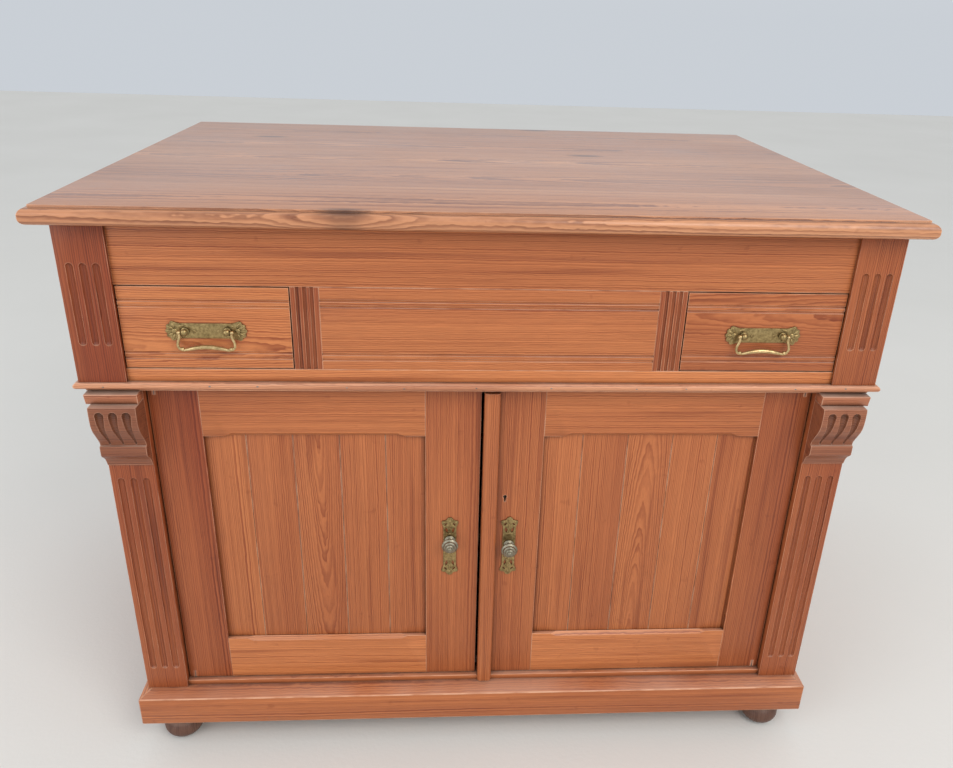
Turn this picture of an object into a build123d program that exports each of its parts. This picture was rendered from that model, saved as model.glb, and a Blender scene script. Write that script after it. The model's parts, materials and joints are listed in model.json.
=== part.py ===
from build123d import *
import math
import os

os.makedirs("parts", exist_ok=True)

# Pine cabinet icebox: a lifting lid over a zinc ice tank and two drawers,
# above a cold cupboard with two doors.
# Millimetres, +Z up, front towards -Y, origin on the floor under the middle of the lid.

# ---- Overall sizes ----
carcass_width = 1000.0
carcass_depth = 672.0
foot_height = 44.0
plinth_height = 54.5
sill_height = 8.5
door_opening_height = 477.0
waist_height = 14.0
drawer_rail_height = 17.0
drawer_opening_height = 106.0
frieze_height = 76.0

# ---- Lid board ----
lid_thickness = 22.0
lid_overhang_front = 30.0
lid_overhang_side = 19.0
lid_overhang_back = 20.0
lid_nose_radius = 8.0
lid_quirk_depth = 3.0
lid_quirk_inset = 9.0

# ---- Carcass boards ----
upper_post_width = 57.5
upper_post_thickness = 26.0
lower_post_width = 57.0
lower_post_thickness = 30.0
lower_inset = 12.0
lower_setback = 13.5
rail_setback = 4.0
rail_thickness = 22.0
sill_setback = 4.5
sill_thickness = 20.0
side_thickness = 20.0
side_panel_thickness = 10.0
side_stile_width = 62.0
side_rail_width = 70.0
groove_depth = 8.0
groove_play = 0.3
back_board_thickness = 14.0
back_board_count = 8
board_gap = 0.5
back_rail_height = 45.0
floor_thickness = 14.0
plinth_thickness = 24.0
plinth_projection = 16.0
plinth_side_projection = 11.0
plinth_bevel_height = 8.5
plinth_bevel_depth = 15.5
foot_block_size = 60.0

# ---- Waist moulding ----
waist_projection = 18.0
waist_nose_radius = 4.2
waist_cove_radius = 5.0
waist_fillet = 1.5
waist_fascia = 4.0
mitre_spare = 60.0

# ---- Fluting and beads ----
upper_flute_radius = 4.5
upper_flute_spacing = 15.0
upper_flute_bottom = 48.0
upper_flute_top = 49.0
lower_flute_radius = 4.8
lower_flute_spacing = 16.0
lower_flute_bottom = 36.5
lower_flute_top = 128.5
flute_depth = 3.4
divider_groove_radius = 2.2
divider_groove_spacing = 8.5
bead_groove_radius = 1.5
bead_spacing = 7.0
bead_band_top = 17.0
bead_band_bottom = 13.0

# ---- Corbels ----
corbel_height = 95.0
corbel_reach = 31.0
corbel_waist_reach = 13.0
corbel_nose_reach = 15.8
corbel_nose_height = 34.0
corbel_nose_face = 15.0
corbel_nose_cove = 6.3
corbel_toe = 2.0
corbel_shoulder = 1.0
corbel_bulge_drop = 16.0
corbel_sweep_drop = 38.0
corbel_sweep_back = 7.0
corbel_sweep_sag = 2.5
capital_height = 13.0
capital_reach = 20.0
capital_overhang = 7.0

# ---- Feet ----
foot_radius = 28.5
foot_base_radius = 18.0
foot_neck_radius = 19.0
foot_ring_radius = 23.5
foot_ring_height = 8.0
foot_ring_round = 2.0
foot_belly_height = 17.0
foot_dowel_radius = 9.0
foot_dowel_length = 22.0
foot_inset_side = 38.0
foot_inset_front = 31.0
foot_inset_back = 44.0

# ---- Upper bay ----
divider_width = 34.0
divider_outer = 240.0
partition_thickness = 16.0
cork_thickness = 22.0
tray_thickness = 8.0
tray_gap = 2.0

# ---- Ice tank ----
zinc_thickness = 1.5
tank_fit = 0.5
rack_slat_width = 30.0
rack_slat_thickness = 10.0
rack_slat_gap = 50.0
rack_batten_width = 20.0
rack_batten_height = 12.0
rack_batten_inset = 80.0
drain_radius = 11.0
drain_wall = 1.5
drain_from_back = 30.0
drain_gap = 5.0

# ---- Lid lining and seal ----
lid_pad_thickness = 16.0
lid_pad_inset = 8.0
seal_width = 12.0
seal_thickness = 3.0
seal_play = 0.5

# ---- Lid hinges ----
lid_hinge_width = 60.0
lid_hinge_leaf = 2.0
lid_hinge_reach = 46.0
lid_hinge_drop = 30.0
lid_hinge_barrel = 4.0
lid_hinge_pin = 2.0
lid_hinge_spacing = 330.0
hinge_play = 0.3
pin_play = 0.05

# ---- Drawers ----
drawer_play = 1.5
drawer_front_thickness = 20.0
drawer_side_thickness = 10.0
drawer_bottom_thickness = 6.0
drawer_length = 420.0
drawer_side_drop = 12.0
drawer_bottom_rise = 6.0
runner_width = 24.0
runner_back_reach = 60.0

# ---- Drawer pulls ----
pull_plate_length = 96.0
pull_plate_height = 19.0
pull_end_height = 27.0
pull_end_length = 20.0
pull_plate_thickness = 1.6
pull_below_centre = 3.0
bail_span = 62.0
bail_drop = 21.0
bail_rise = 5.0
bail_flare = 4.0
bail_radius = 2.2
bail_bend_radius = 4.0
bail_shoulder_drop = 9.5
bail_pin_radius = 1.5
bail_pin_length = 9.8
bail_boss_radius = 3.6
bail_boss_reach = 9.0
bail_stand_off = 5.6

# ---- Doors ----
door_setback = 10.5
door_thickness = 21.0
door_play = 1.5
door_gap = 3.5
door_split = -6.25
outer_stile_width = 62.0
left_meeting_stile = 73.0
right_meeting_stile = 81.0
top_rail_width = 71.5
bottom_rail_width = 70.5
rail_chamfer = 5.0
rail_chamfer_stop = 26.0
rail_chamfer_taper = 10.0
door_panel_thickness = 9.0
door_panel_setback = 6.0
door_board_count = 5
pad_thickness = 16.0
pad_meeting_inset = 62.0
pad_outer_inset = 26.0
pad_end_inset = 22.0
pivot_radius = 3.0
pivot_from_edge = 8.0
pivot_behind_face = 3.0
pivot_length = 12.0

# ---- Astragal ----
astragal_width = 21.0
astragal_thickness = 11.0
astragal_round = 5.0
astragal_below = 9.0
astragal_top_gap = 5.0

# ---- Door furniture ----
knob_plate_height = 96.0
knob_plate_width = 18.0
knob_plate_end_width = 23.0
knob_plate_end_height = 20.0
knob_plate_thickness = 1.6
left_plate_from_edge = 39.4
right_plate_from_edge = 39.8
knob_plate_rise = 228.5
knob_radius = 11.5
knob_reach = 25.0
knob_neck_radius = 4.5
knob_waist = 12.0
knob_rim_thickness = 4.0
knob_collar_radius = 7.5
knob_collar_thickness = 2.0
knob_collar_taper = 2.0
left_knob_rise = 11.0
right_knob_rise = 3.0
spindle_radius = 2.5
nut_radius = 6.0
nut_thickness = 3.5

# ---- Lock and bolts ----
keyhole_from_edge = 32.0
keyhole_height = 309.0
keyhole_radius = 2.6
keyhole_slot = 2.4
keyhole_slot_length = 8.0
lock_height = 60.0
lock_depth = 44.0
lock_thickness = 9.0
lock_bolt_height = 18.0
lock_bolt_thickness = 4.0
lock_bolt_travel = 10.0
lock_back_wall = 8.0
lock_play = 0.5
flush_bolt_width = 10.0
flush_bolt_thickness = 4.0
flush_bolt_knob_reach = 6.0
flush_bolt_length = 110.0
flush_bolt_travel = 10.0
flush_bolt_from_edge = 24.0

# ---- Cold cupboard ----
wall_cork_thickness = 34.0
back_cork_thickness = 40.0
floor_cork_thickness = 8.0
ceiling_cork_thickness = 18.0
shelf_height = 215.0
shelf_thickness = 12.0
shelf_slat_width = 52.0
shelf_slat_gap = 9.0
shelf_play = 2.0
shelf_front_gap = 12.0
shelf_back_gap = 60.0
shelf_batten_inset = 215.0
bearer_height = 20.0
bearer_width = 14.0
pan_width = 300.0
pan_depth = 160.0
pan_height = 40.0
pan_wall = 1.5
pan_back_margin = 16.0

# ---- Levels and planes worked out from the sizes above ----
lid_width = carcass_width + 2 * lid_overhang_side
lid_depth = carcass_depth + lid_overhang_front + lid_overhang_back
front = -lid_depth / 2 + lid_overhang_front
back = front + carcass_depth
upper_half = carcass_width / 2
lower_half = upper_half - lower_inset

plinth_top = foot_height + plinth_height
sill_top = plinth_top + sill_height
waist_bottom = sill_top + door_opening_height
waist_top = waist_bottom + waist_height
drawer_floor = waist_top + drawer_rail_height
frieze_bottom = drawer_floor + drawer_opening_height
carcass_top = frieze_bottom + frieze_height
lid_top = carcass_top + lid_thickness

upper_opening = upper_half - upper_post_width
lower_opening = lower_half - lower_post_width
rail_face = front + rail_setback
lower_face = front + lower_setback
sill_face = lower_face + sill_setback
door_face = lower_face + door_setback
door_back = door_face + door_thickness
inner_back = back - back_board_thickness
inner_side = upper_half - side_thickness
lower_side = lower_half - side_thickness
bay_inner = divider_outer - partition_thickness
bay_front = rail_face + rail_thickness
bay_back = inner_back - rail_thickness


# ---- Helpers ----
def board(x, y, z, mode=Mode.ADD):
    """Adds a rectangular board to the open part, from (low, high) pairs."""
    with Locations((x[0], y[0], z[0])):
        Box(x[1] - x[0], y[1] - y[0], z[1] - z[0], align=(Align.MIN,) * 3, mode=mode)


def mirrored(pair, side):
    """Gives the (low, high) pair of a board on the left (side -1) or right (side 1)."""
    return tuple(sorted((side * pair[0], side * pair[1])))


def single_board(x, y, z):
    with BuildPart() as piece:
        board(x, y, z)
    return piece


def slat_count(span, width, gap):
    """The number of slats that fill a (low, high) span with at least this gap between them."""
    return 1 + int((span[1] - span[0] - width) // (width + gap))


def cut_flute(x, face, z, radius, depth):
    """Cuts one upright flute with rounded ends into the open part."""
    axis_y = face - radius + depth
    with Locations((x, axis_y, (z[0] + z[1]) / 2)):
        Cylinder(radius, z[1] - z[0] - 2 * radius, mode=Mode.SUBTRACT)
    with Locations((x, axis_y, z[0] + radius), (x, axis_y, z[1] - radius)):
        Sphere(radius, mode=Mode.SUBTRACT)


def drill(centre, radius, length, axis="z", mode=Mode.SUBTRACT):
    """Cuts or adds a cylinder that starts at centre and runs along the axis."""
    turns = {"x": (0, 90, 0), "y": (-90, 0, 0), "z": (0, 0, 0)}
    with Locations(Location(centre, turns[axis])):
        Cylinder(radius, length, align=(Align.CENTER, Align.CENTER, Align.MIN), mode=mode)


def save(name, *pieces):
    """Writes one node; the pieces in it stay separate solids."""
    solids = [solid for piece in pieces for solid in piece.part.solids()]
    node = solids[0] if len(solids) == 1 else Compound(children=solids)
    node.label = name
    export_step(node, f"parts/{name}.step")


def beaded_front(x, z, thickness):
    """A drawer front or panel with a bead between two quirks along its top and bottom."""
    with BuildPart() as piece:
        board(x, (rail_face, rail_face + thickness), z)
        for edge_z in (z[1] - bead_band_top, z[0] + bead_band_bottom + bead_spacing):
            for groove_z in (edge_z, edge_z - bead_spacing):
                drill((x[0], rail_face, groove_z), bead_groove_radius, x[1] - x[0], "x")
    return piece


def mitred_run(outline, wall_x, wall_y, end_y):
    """One moulding round the front and both sides; outline lists (outwards, height) points and arcs."""
    reach = wall_x + mitre_spare
    front_y = wall_y - mitre_spare
    runs = []
    sections = (
        (Plane((reach, wall_y, 0), x_dir=(0, -1, 0), z_dir=(-1, 0, 0)), 2 * reach),
        (Plane((wall_x, end_y, 0), x_dir=(1, 0, 0), z_dir=(0, -1, 0)), end_y - front_y),
        (Plane((-wall_x, front_y, 0), x_dir=(-1, 0, 0), z_dir=(0, 1, 0)), end_y - front_y),
    )
    right_mitre = Plane((wall_x, wall_y, 0), z_dir=(1, 1, 0))
    left_mitre = Plane((-wall_x, wall_y, 0), z_dir=(-1, 1, 0))
    for index, (plane, length) in enumerate(sections):
        with BuildPart() as run:
            with BuildSketch(plane) as section:
                with BuildLine():
                    outline()
                make_face()
            extrude(section.sketch, amount=length)
            if index == 0:
                split(bisect_by=right_mitre, keep=Keep.BOTTOM)
                split(bisect_by=left_mitre, keep=Keep.BOTTOM)
            elif index == 1:
                split(bisect_by=right_mitre, keep=Keep.TOP)
            else:
                split(bisect_by=left_mitre, keep=Keep.TOP)
        runs.append(run)
    return runs


# ---- Feet, plinth and floor ----
foot_x = lower_half - foot_inset_side
foot_front = front + foot_inset_front
foot_back = back - foot_inset_back
foot_places = [(x, y) for x in (-foot_x, foot_x) for y in (foot_front, foot_back)]

with BuildPart() as bun_feet:
    with BuildSketch(Plane.XZ) as foot_half:
        with BuildLine():
            ring_bottom = foot_height - foot_ring_height
            ring_edge = foot_ring_radius - foot_ring_round
            Line((foot_neck_radius, ring_bottom), (ring_edge, ring_bottom))
            ThreePointArc(
                (ring_edge, ring_bottom),
                (foot_ring_radius, ring_bottom + foot_ring_height / 2),
                (ring_edge, foot_height),
            )
            Polyline((ring_edge, foot_height), (0, foot_height), (0, 0), (foot_base_radius, 0))
            ThreePointArc(
                (foot_base_radius, 0), (foot_radius, foot_belly_height), (foot_neck_radius, ring_bottom)
            )
        make_face()
    with Locations(*[(x, y, 0) for x, y in foot_places]):
        add(revolve(foot_half.sketch, axis=Axis.Z, mode=Mode.PRIVATE))
    for x, y in foot_places:
        drill((x, y, foot_height), foot_dowel_radius, foot_dowel_length, mode=Mode.ADD)
save("bun_feet", bun_feet)

plinth_wall_y = front + lower_setback - plinth_projection + plinth_thickness
plinth_wall_x = lower_half + plinth_side_projection - plinth_thickness


def plinth_outline():
    Polyline(
        (0, foot_height),
        (plinth_thickness, foot_height),
        (plinth_thickness, plinth_top - plinth_bevel_height),
        (plinth_thickness - plinth_bevel_depth, plinth_top),
        (0, plinth_top),
        (0, foot_height),
    )


plinth_pieces = mitred_run(plinth_outline, plinth_wall_x, plinth_wall_y, back)
floor_bottom = plinth_top - floor_thickness
plinth_pieces.append(
    single_board(
        (-plinth_wall_x, plinth_wall_x), (back - plinth_thickness, back), (foot_height, floor_bottom)
    )
)
for x, y in foot_places:
    block_x = mirrored((plinth_wall_x - foot_block_size, plinth_wall_x), 1 if x > 0 else -1)
    block_y = (
        (plinth_wall_y, plinth_wall_y + foot_block_size)
        if y < 0
        else (back - plinth_thickness - foot_block_size, back - plinth_thickness)
    )
    with BuildPart() as foot_block:
        board(block_x, block_y, (foot_height, floor_bottom))
        drill((x, y, foot_height), foot_dowel_radius + pin_play, foot_dowel_length + pin_play)
    plinth_pieces.append(foot_block)
save("plinth", *plinth_pieces)

pivot_x = lower_opening - door_play - pivot_from_edge
pivot_y = door_face + pivot_behind_face
pivot_places = [(-pivot_x, pivot_y), (pivot_x, pivot_y)]

with BuildPart() as bottom_board:
    board((-plinth_wall_x, plinth_wall_x), (plinth_wall_y, back), (floor_bottom, plinth_top))
    for x, y in pivot_places:
        drill((x, y, plinth_top - pivot_length + sill_height), pivot_radius + pin_play, pivot_length)
save("bottom_board", bottom_board)

with BuildPart() as sill_rail:
    board((-lower_opening, lower_opening), (sill_face, sill_face + sill_thickness), (plinth_top, sill_top))
    for x, y in pivot_places:
        drill((x, y, plinth_top), pivot_radius + pin_play, sill_height)
save("sill_rail", sill_rail)

# ---- Posts with stopped flutes ----
lower_posts = []
upper_posts = []
for side in (-1, 1):
    lower_middle = side * (lower_opening + lower_post_width / 2)
    with BuildPart() as lower_post:
        board(
            mirrored((lower_opening, lower_half), side),
            (lower_face, lower_face + lower_post_thickness),
            (plinth_top, waist_bottom),
        )
        for step in (-1, 0, 1):
            cut_flute(
                lower_middle + step * lower_flute_spacing,
                lower_face,
                (plinth_top + lower_flute_bottom, waist_bottom - lower_flute_top),
                lower_flute_radius,
                flute_depth,
            )
    lower_posts.append(lower_post)
    upper_middle = side * (upper_opening + upper_post_width / 2)
    with BuildPart() as upper_post:
        board(
            mirrored((upper_opening, upper_half), side),
            (front, front + upper_post_thickness),
            (waist_top, carcass_top),
        )
        for step in (-1, 0, 1):
            cut_flute(
                upper_middle + step * upper_flute_spacing,
                front,
                (waist_top + upper_flute_bottom, carcass_top - upper_flute_top),
                upper_flute_radius,
                flute_depth,
            )
    upper_posts.append(upper_post)
save("lower_pilasters", *lower_posts)
save("upper_pilasters", *upper_posts)

# ---- Corbels under the waist ----
corbel_top = waist_bottom - capital_height
corbel_bottom = corbel_top - corbel_height
nose_top = corbel_bottom + corbel_nose_height
for side, name in ((-1, "corbel_left"), (1, "corbel_right")):
    corbel_x = mirrored((lower_opening, lower_half), side)
    capital = single_board(
        mirrored((lower_opening, lower_half + capital_overhang), side),
        (lower_face - capital_reach, lower_face),
        (corbel_top, waist_bottom),
    )
    with BuildPart() as bracket:
        with BuildSketch(Plane((corbel_x[1], lower_face, 0), x_dir=(0, -1, 0), z_dir=(-1, 0, 0))) as scroll:
            with BuildLine():
                bulge_z = corbel_top - corbel_bulge_drop
                sweep_z = corbel_top - corbel_sweep_drop
                sweep_reach = corbel_reach - corbel_sweep_back
                sweep_middle = (
                    (sweep_reach + corbel_waist_reach) / 2 - corbel_sweep_sag,
                    (sweep_z + nose_top) / 2 - corbel_sweep_sag,
                )
                nose_bottom = nose_top - corbel_nose_face
                cove_middle = (corbel_nose_cove, (nose_bottom + corbel_bottom) / 2)
                Polyline((0, corbel_bottom), (0, corbel_top), (corbel_reach - corbel_shoulder, corbel_top))
                ThreePointArc(
                    (corbel_reach - corbel_shoulder, corbel_top),
                    (corbel_reach, bulge_z),
                    (sweep_reach, sweep_z),
                )
                ThreePointArc((sweep_reach, sweep_z), sweep_middle, (corbel_waist_reach, nose_top))
                Polyline(
                    (corbel_waist_reach, nose_top),
                    (corbel_nose_reach, nose_top),
                    (corbel_nose_reach, nose_bottom),
                )
                ThreePointArc((corbel_nose_reach, nose_bottom), cove_middle, (corbel_toe, corbel_bottom))
                Line((corbel_toe, corbel_bottom), (0, corbel_bottom))
            make_face()
        extrude(scroll.sketch, amount=lower_post_width)
    save(name, capital, bracket)

# ---- Deck between cupboard and drawers, with its moulding ----
flush_bolt_x = door_split - door_gap / 2 - flush_bolt_from_edge
flush_bolt_half = flush_bolt_width / 2
flush_bolt_y = (door_back - flush_bolt_thickness, door_back)
keeper_play = 0.8
drain_y = bay_back - cork_thickness - drain_from_back

with BuildPart() as mid_deck:
    board((-lower_half, lower_half), (lower_face, inner_back), (waist_bottom, waist_top))
    for x, y in pivot_places:
        drill((x, y, waist_bottom), pivot_radius + pin_play, pivot_length)
    drill((0, drain_y, waist_bottom), drain_radius + pin_play, waist_height)
    board(
        (flush_bolt_x - flush_bolt_half - keeper_play, flush_bolt_x + flush_bolt_half + keeper_play),
        (flush_bolt_y[0] - keeper_play, flush_bolt_y[1] + keeper_play),
        (waist_bottom, waist_bottom + flush_bolt_travel + keeper_play),
        mode=Mode.SUBTRACT,
    )
save("mid_deck", mid_deck)


def waist_outline():
    nose_centre = waist_projection - waist_nose_radius
    nose_bottom = waist_top - 2 * waist_nose_radius
    cove_x = nose_centre - waist_fillet - waist_cove_radius
    cove_z = nose_bottom - waist_cove_radius
    cove_slope = waist_cove_radius * math.sqrt(0.5)
    Polyline((0, waist_bottom), (0, waist_top), (nose_centre, waist_top))
    ThreePointArc(
        (nose_centre, waist_top),
        (waist_projection, waist_top - waist_nose_radius),
        (nose_centre, nose_bottom),
    )
    Line((nose_centre, nose_bottom), (nose_centre - waist_fillet, nose_bottom))
    ThreePointArc(
        (nose_centre - waist_fillet, nose_bottom),
        (nose_centre - waist_fillet - cove_slope, cove_z + cove_slope),
        (cove_x, cove_z),
    )
    Polyline(
        (cove_x, cove_z),
        (cove_x - waist_fascia, cove_z),
        (cove_x - waist_fascia, waist_bottom),
        (0, waist_bottom),
    )


save("waist_moulding", *mitred_run(waist_outline, lower_half, lower_face, back))

# ---- Front rails, dividers and fixed panel of the drawer row ----
rail_x = (-upper_opening, upper_opening)
rail_y = (rail_face, bay_front)
drawer_row_z = (drawer_floor, frieze_bottom)
divider_inner = divider_outer - divider_width
save("drawer_rail", single_board(rail_x, rail_y, (waist_top, drawer_floor)))
save("frieze_rail", single_board(rail_x, rail_y, (frieze_bottom, carcass_top)))
save("centre_panel", beaded_front((-divider_inner, divider_inner), drawer_row_z, rail_thickness))

dividers = []
for side in (-1, 1):
    with BuildPart() as divider:
        board(mirrored((divider_inner, divider_outer), side), rail_y, drawer_row_z)
        for step in (-1, 0, 1):
            groove_x = side * (divider_inner + divider_width / 2) + step * divider_groove_spacing
            drill((groove_x, rail_face, drawer_floor), divider_groove_radius, drawer_opening_height)
    dividers.append(divider)
save("drawer_dividers", *dividers)

# ---- Sides and back ----
post_back = front + upper_post_thickness
hinge_gap = lid_hinge_leaf + pin_play
back_top = carcass_top - hinge_gap
save(
    "upper_side_boards",
    *[single_board(mirrored((inner_side, upper_half), side), (post_back, back), (waist_top, carcass_top))
      for side in (-1, 1)],
)

frame_y = (lower_face + lower_post_thickness, inner_back)
frame_z = (plinth_top, waist_bottom)
panel_y = (frame_y[0] + side_stile_width, frame_y[1] - side_stile_width)
panel_z = (frame_z[0] + side_rail_width, frame_z[1] - side_rail_width)
tongue = groove_depth - board_gap
side_frame_pieces = []
side_panel_pieces = []
for side in (-1, 1):
    frame_x = mirrored((lower_side, lower_half), side)
    middle_x = (frame_x[0] + frame_x[1]) / 2
    groove_x = (
        middle_x - side_panel_thickness / 2 - groove_play,
        middle_x + side_panel_thickness / 2 + groove_play,
    )
    groove_y = (panel_y[0] - groove_depth, panel_y[1] + groove_depth)
    groove_z = (panel_z[0] - groove_depth, panel_z[1] + groove_depth)
    members = (
        ((frame_y[0], panel_y[0]), frame_z),
        ((panel_y[1], frame_y[1]), frame_z),
        (panel_y, (frame_z[0], panel_z[0])),
        (panel_y, (panel_z[1], frame_z[1])),
    )
    for member_y, member_z in members:
        with BuildPart() as member:
            board(frame_x, member_y, member_z)
            board(groove_x, groove_y, groove_z, mode=Mode.SUBTRACT)
        side_frame_pieces.append(member)
    side_panel_pieces.append(
        single_board(
            (middle_x - side_panel_thickness / 2, middle_x + side_panel_thickness / 2),
            (panel_y[0] - tongue, panel_y[1] + tongue),
            (panel_z[0] - tongue, panel_z[1] + tongue),
        )
    )
save("side_frames", *side_frame_pieces)
save("side_panels", *side_panel_pieces)

back_board_width = (2 * inner_side - (back_board_count - 1) * board_gap) / back_board_count
back_board_pieces = []
for index in range(back_board_count):
    board_x = -inner_side + index * (back_board_width + board_gap)
    back_board_pieces.append(
        single_board((board_x, board_x + back_board_width), (inner_back, back), (plinth_top, back_top))
    )
save("back_boards", *back_board_pieces)
save(
    "back_rail",
    single_board((-inner_side, inner_side), (bay_back, inner_back), (back_top - back_rail_height, back_top)),
)

# ---- Ice bay: partitions, tank, rack and drain ----
bay_y = (bay_front, bay_back)
save(
    "partitions",
    *[single_board(mirrored((bay_inner, divider_outer), side), bay_y, (waist_top, carcass_top))
      for side in (-1, 1)],
)

tray_bottom = frieze_bottom + tray_gap
save(
    "tray_boards",
    *[single_board(mirrored((divider_outer, inner_side), side), (bay_front, inner_back),
                   (tray_bottom, tray_bottom + tray_thickness))
      for side in (-1, 1)],
)

seal_top = carcass_top - lid_pad_thickness
tank_rim = seal_top - seal_thickness - seal_play
tank_x = bay_inner - cork_thickness - tank_fit
tank_y = (bay_front + cork_thickness + tank_fit, bay_back - cork_thickness - tank_fit)
tank_bottom = waist_top + cork_thickness
tank_floor = tank_bottom + zinc_thickness
cork_top = tank_rim - zinc_thickness
tank_inner = tank_x - zinc_thickness
tank_inner_y = (tank_y[0] + zinc_thickness, tank_y[1] - zinc_thickness)

with BuildPart() as tank_base:
    board((-tank_x, tank_x), tank_y, (tank_bottom, tank_floor))
    drill((0, drain_y, tank_bottom), drain_radius - drain_wall, zinc_thickness)
tank_sheets = [tank_base]
flange_x = bay_inner - tank_fit
flange_y = (bay_front + tank_fit, bay_back - tank_fit)
for side in (-1, 1):
    tank_sheets.append(
        single_board(mirrored((tank_inner, tank_x), side), tank_inner_y, (tank_floor, cork_top))
    )
    tank_sheets.append(
        single_board(mirrored((tank_inner, flange_x), side), tank_inner_y, (cork_top, tank_rim))
    )
for wall_y, rim_y in (
    ((tank_y[0], tank_inner_y[0]), (flange_y[0], tank_inner_y[0])),
    ((tank_inner_y[1], tank_y[1]), (tank_inner_y[1], flange_y[1])),
):
    tank_sheets.append(single_board((-tank_x, tank_x), wall_y, (tank_floor, cork_top)))
    tank_sheets.append(single_board((-flange_x, flange_x), rim_y, (cork_top, tank_rim)))
save("ice_tank", *tank_sheets)

rack_x = tank_inner - shelf_play
rack_y = (tank_inner_y[0] + shelf_play, tank_inner_y[1] - shelf_play)
rack_slat_count = slat_count(rack_y, rack_slat_width, rack_slat_gap)
rack_pitch = (rack_y[1] - rack_y[0] - rack_slat_width) / (rack_slat_count - 1)
rack_pieces = []
for step in (-1, 1):
    batten_x = step * (rack_x - rack_batten_inset)
    rack_pieces.append(
        single_board((batten_x - rack_batten_width / 2, batten_x + rack_batten_width / 2), rack_y,
                     (tank_floor, tank_floor + rack_batten_height))
    )
slat_bottom = tank_floor + rack_batten_height
for index in range(rack_slat_count):
    slat_y = rack_y[0] + index * rack_pitch
    rack_pieces.append(
        single_board((-rack_x, rack_x), (slat_y, slat_y + rack_slat_width),
                     (slat_bottom, slat_bottom + rack_slat_thickness))
    )
save("ice_rack", *rack_pieces)

# ---- Cold cupboard: lining, seal, shelf, drip pan and cork ----
lining_half = lower_side - wall_cork_thickness
cavity_half = lining_half - zinc_thickness
lining_front = door_back + seal_play
door_reach = lower_opening - door_play
lining_side_front = frame_y[0] if cavity_half > door_reach else lining_front
seal_back = lining_front + 2 * seal_thickness
lining_back = inner_back - back_cork_thickness
cavity_back = lining_back - zinc_thickness
lining_floor = plinth_top + floor_cork_thickness
cavity_floor = lining_floor + zinc_thickness
lining_ceiling = waist_bottom - ceiling_cork_thickness
cavity_ceiling = lining_ceiling - zinc_thickness

with BuildPart() as ceiling_sheet:
    board((-cavity_half, cavity_half), (seal_back, cavity_back), (cavity_ceiling, lining_ceiling))
    drill((0, drain_y, cavity_ceiling), drain_radius + pin_play, zinc_thickness)
lining_sheets = [
    ceiling_sheet,
    single_board((-cavity_half, cavity_half), (lining_front, cavity_back), (lining_floor, cavity_floor)),
    single_board((-lining_half, lining_half), (cavity_back, lining_back), (lining_floor, lining_ceiling)),
]
for side in (-1, 1):
    lining_sheets.append(
        single_board(mirrored((cavity_half, lining_half), side), (lining_side_front, cavity_back),
                     (lining_floor, lining_ceiling))
    )
save("zinc_lining", *lining_sheets)

pan_rim = cavity_floor + pan_height
drain_foot = (0, drain_y, pan_rim + drain_gap)
drain_length = tank_bottom - pan_rim - drain_gap
with BuildPart() as drain_pipe:
    drill(drain_foot, drain_radius, drain_length, mode=Mode.ADD)
    drill(drain_foot, drain_radius - drain_wall, drain_length)
save("drain_pipe", drain_pipe)

with BuildPart() as ceiling_cork:
    board((-lining_half, lining_half), (seal_back, lining_back), (lining_ceiling, waist_bottom))
    drill((0, drain_y, lining_ceiling), drain_radius + pin_play, ceiling_cork_thickness)
with BuildPart() as tank_floor_cork:
    board((-bay_inner, bay_inner), bay_y, (waist_top, tank_bottom))
    drill((0, drain_y, waist_top), drain_radius + pin_play, cork_thickness)
cork_pieces = [
    ceiling_cork,
    tank_floor_cork,
    single_board((-lining_half, lining_half), (lining_front, lining_back), (plinth_top, lining_floor)),
    single_board((-lower_side, lower_side), (lining_back, inner_back), (plinth_top, waist_bottom)),
]
slab_inner = bay_inner - cork_thickness
for side in (-1, 1):
    cork_pieces.append(
        single_board(mirrored((lining_half, lower_side), side), (lining_side_front, lining_back),
                     (plinth_top, waist_bottom))
    )
    cork_pieces.append(
        single_board(mirrored((slab_inner, bay_inner), side), bay_y, (tank_bottom, cork_top))
    )
for slab_y in ((bay_front, bay_front + cork_thickness), (bay_back - cork_thickness, bay_back)):
    cork_pieces.append(single_board((-slab_inner, slab_inner), slab_y, (tank_bottom, cork_top)))
save("cork_slabs", *cork_pieces)

seal_half = pivot_x - pad_outer_inset + pivot_from_edge
seal_y = (lining_front, seal_back)
save(
    "cupboard_seal",
    single_board((-seal_half, seal_half), seal_y, (waist_bottom - seal_width, waist_bottom)),
    single_board((-seal_half, seal_half), seal_y, (cavity_floor, cavity_floor + seal_width)),
)

shelf_top = cavity_floor + shelf_height
slat_bottom_z = shelf_top - shelf_thickness
pad_back = door_back + pad_thickness
shelf_y = (pad_back + shelf_front_gap, cavity_back - shelf_back_gap)
shelf_half = cavity_half - shelf_play
shelf_slat_count = slat_count(shelf_y, shelf_slat_width, shelf_slat_gap)
shelf_pitch = (shelf_y[1] - shelf_y[0] - shelf_slat_width) / (shelf_slat_count - 1)
shelf_pieces = []
for index in range(shelf_slat_count):
    slat_y = shelf_y[0] + index * shelf_pitch
    shelf_pieces.append(
        single_board((-shelf_half, shelf_half), (slat_y, slat_y + shelf_slat_width),
                     (slat_bottom_z, shelf_top))
    )
for step in (-1, 1):
    batten_x = step * (shelf_half - shelf_batten_inset)
    shelf_pieces.append(
        single_board((batten_x - bearer_width / 2, batten_x + bearer_width / 2), shelf_y,
                     (slat_bottom_z - shelf_thickness, slat_bottom_z))
    )
save("shelf", *shelf_pieces)
save(
    "shelf_bearers",
    *[single_board(mirrored((cavity_half - bearer_width, cavity_half), side), shelf_y,
                   (slat_bottom_z - bearer_height, slat_bottom_z))
      for side in (-1, 1)],
)

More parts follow.
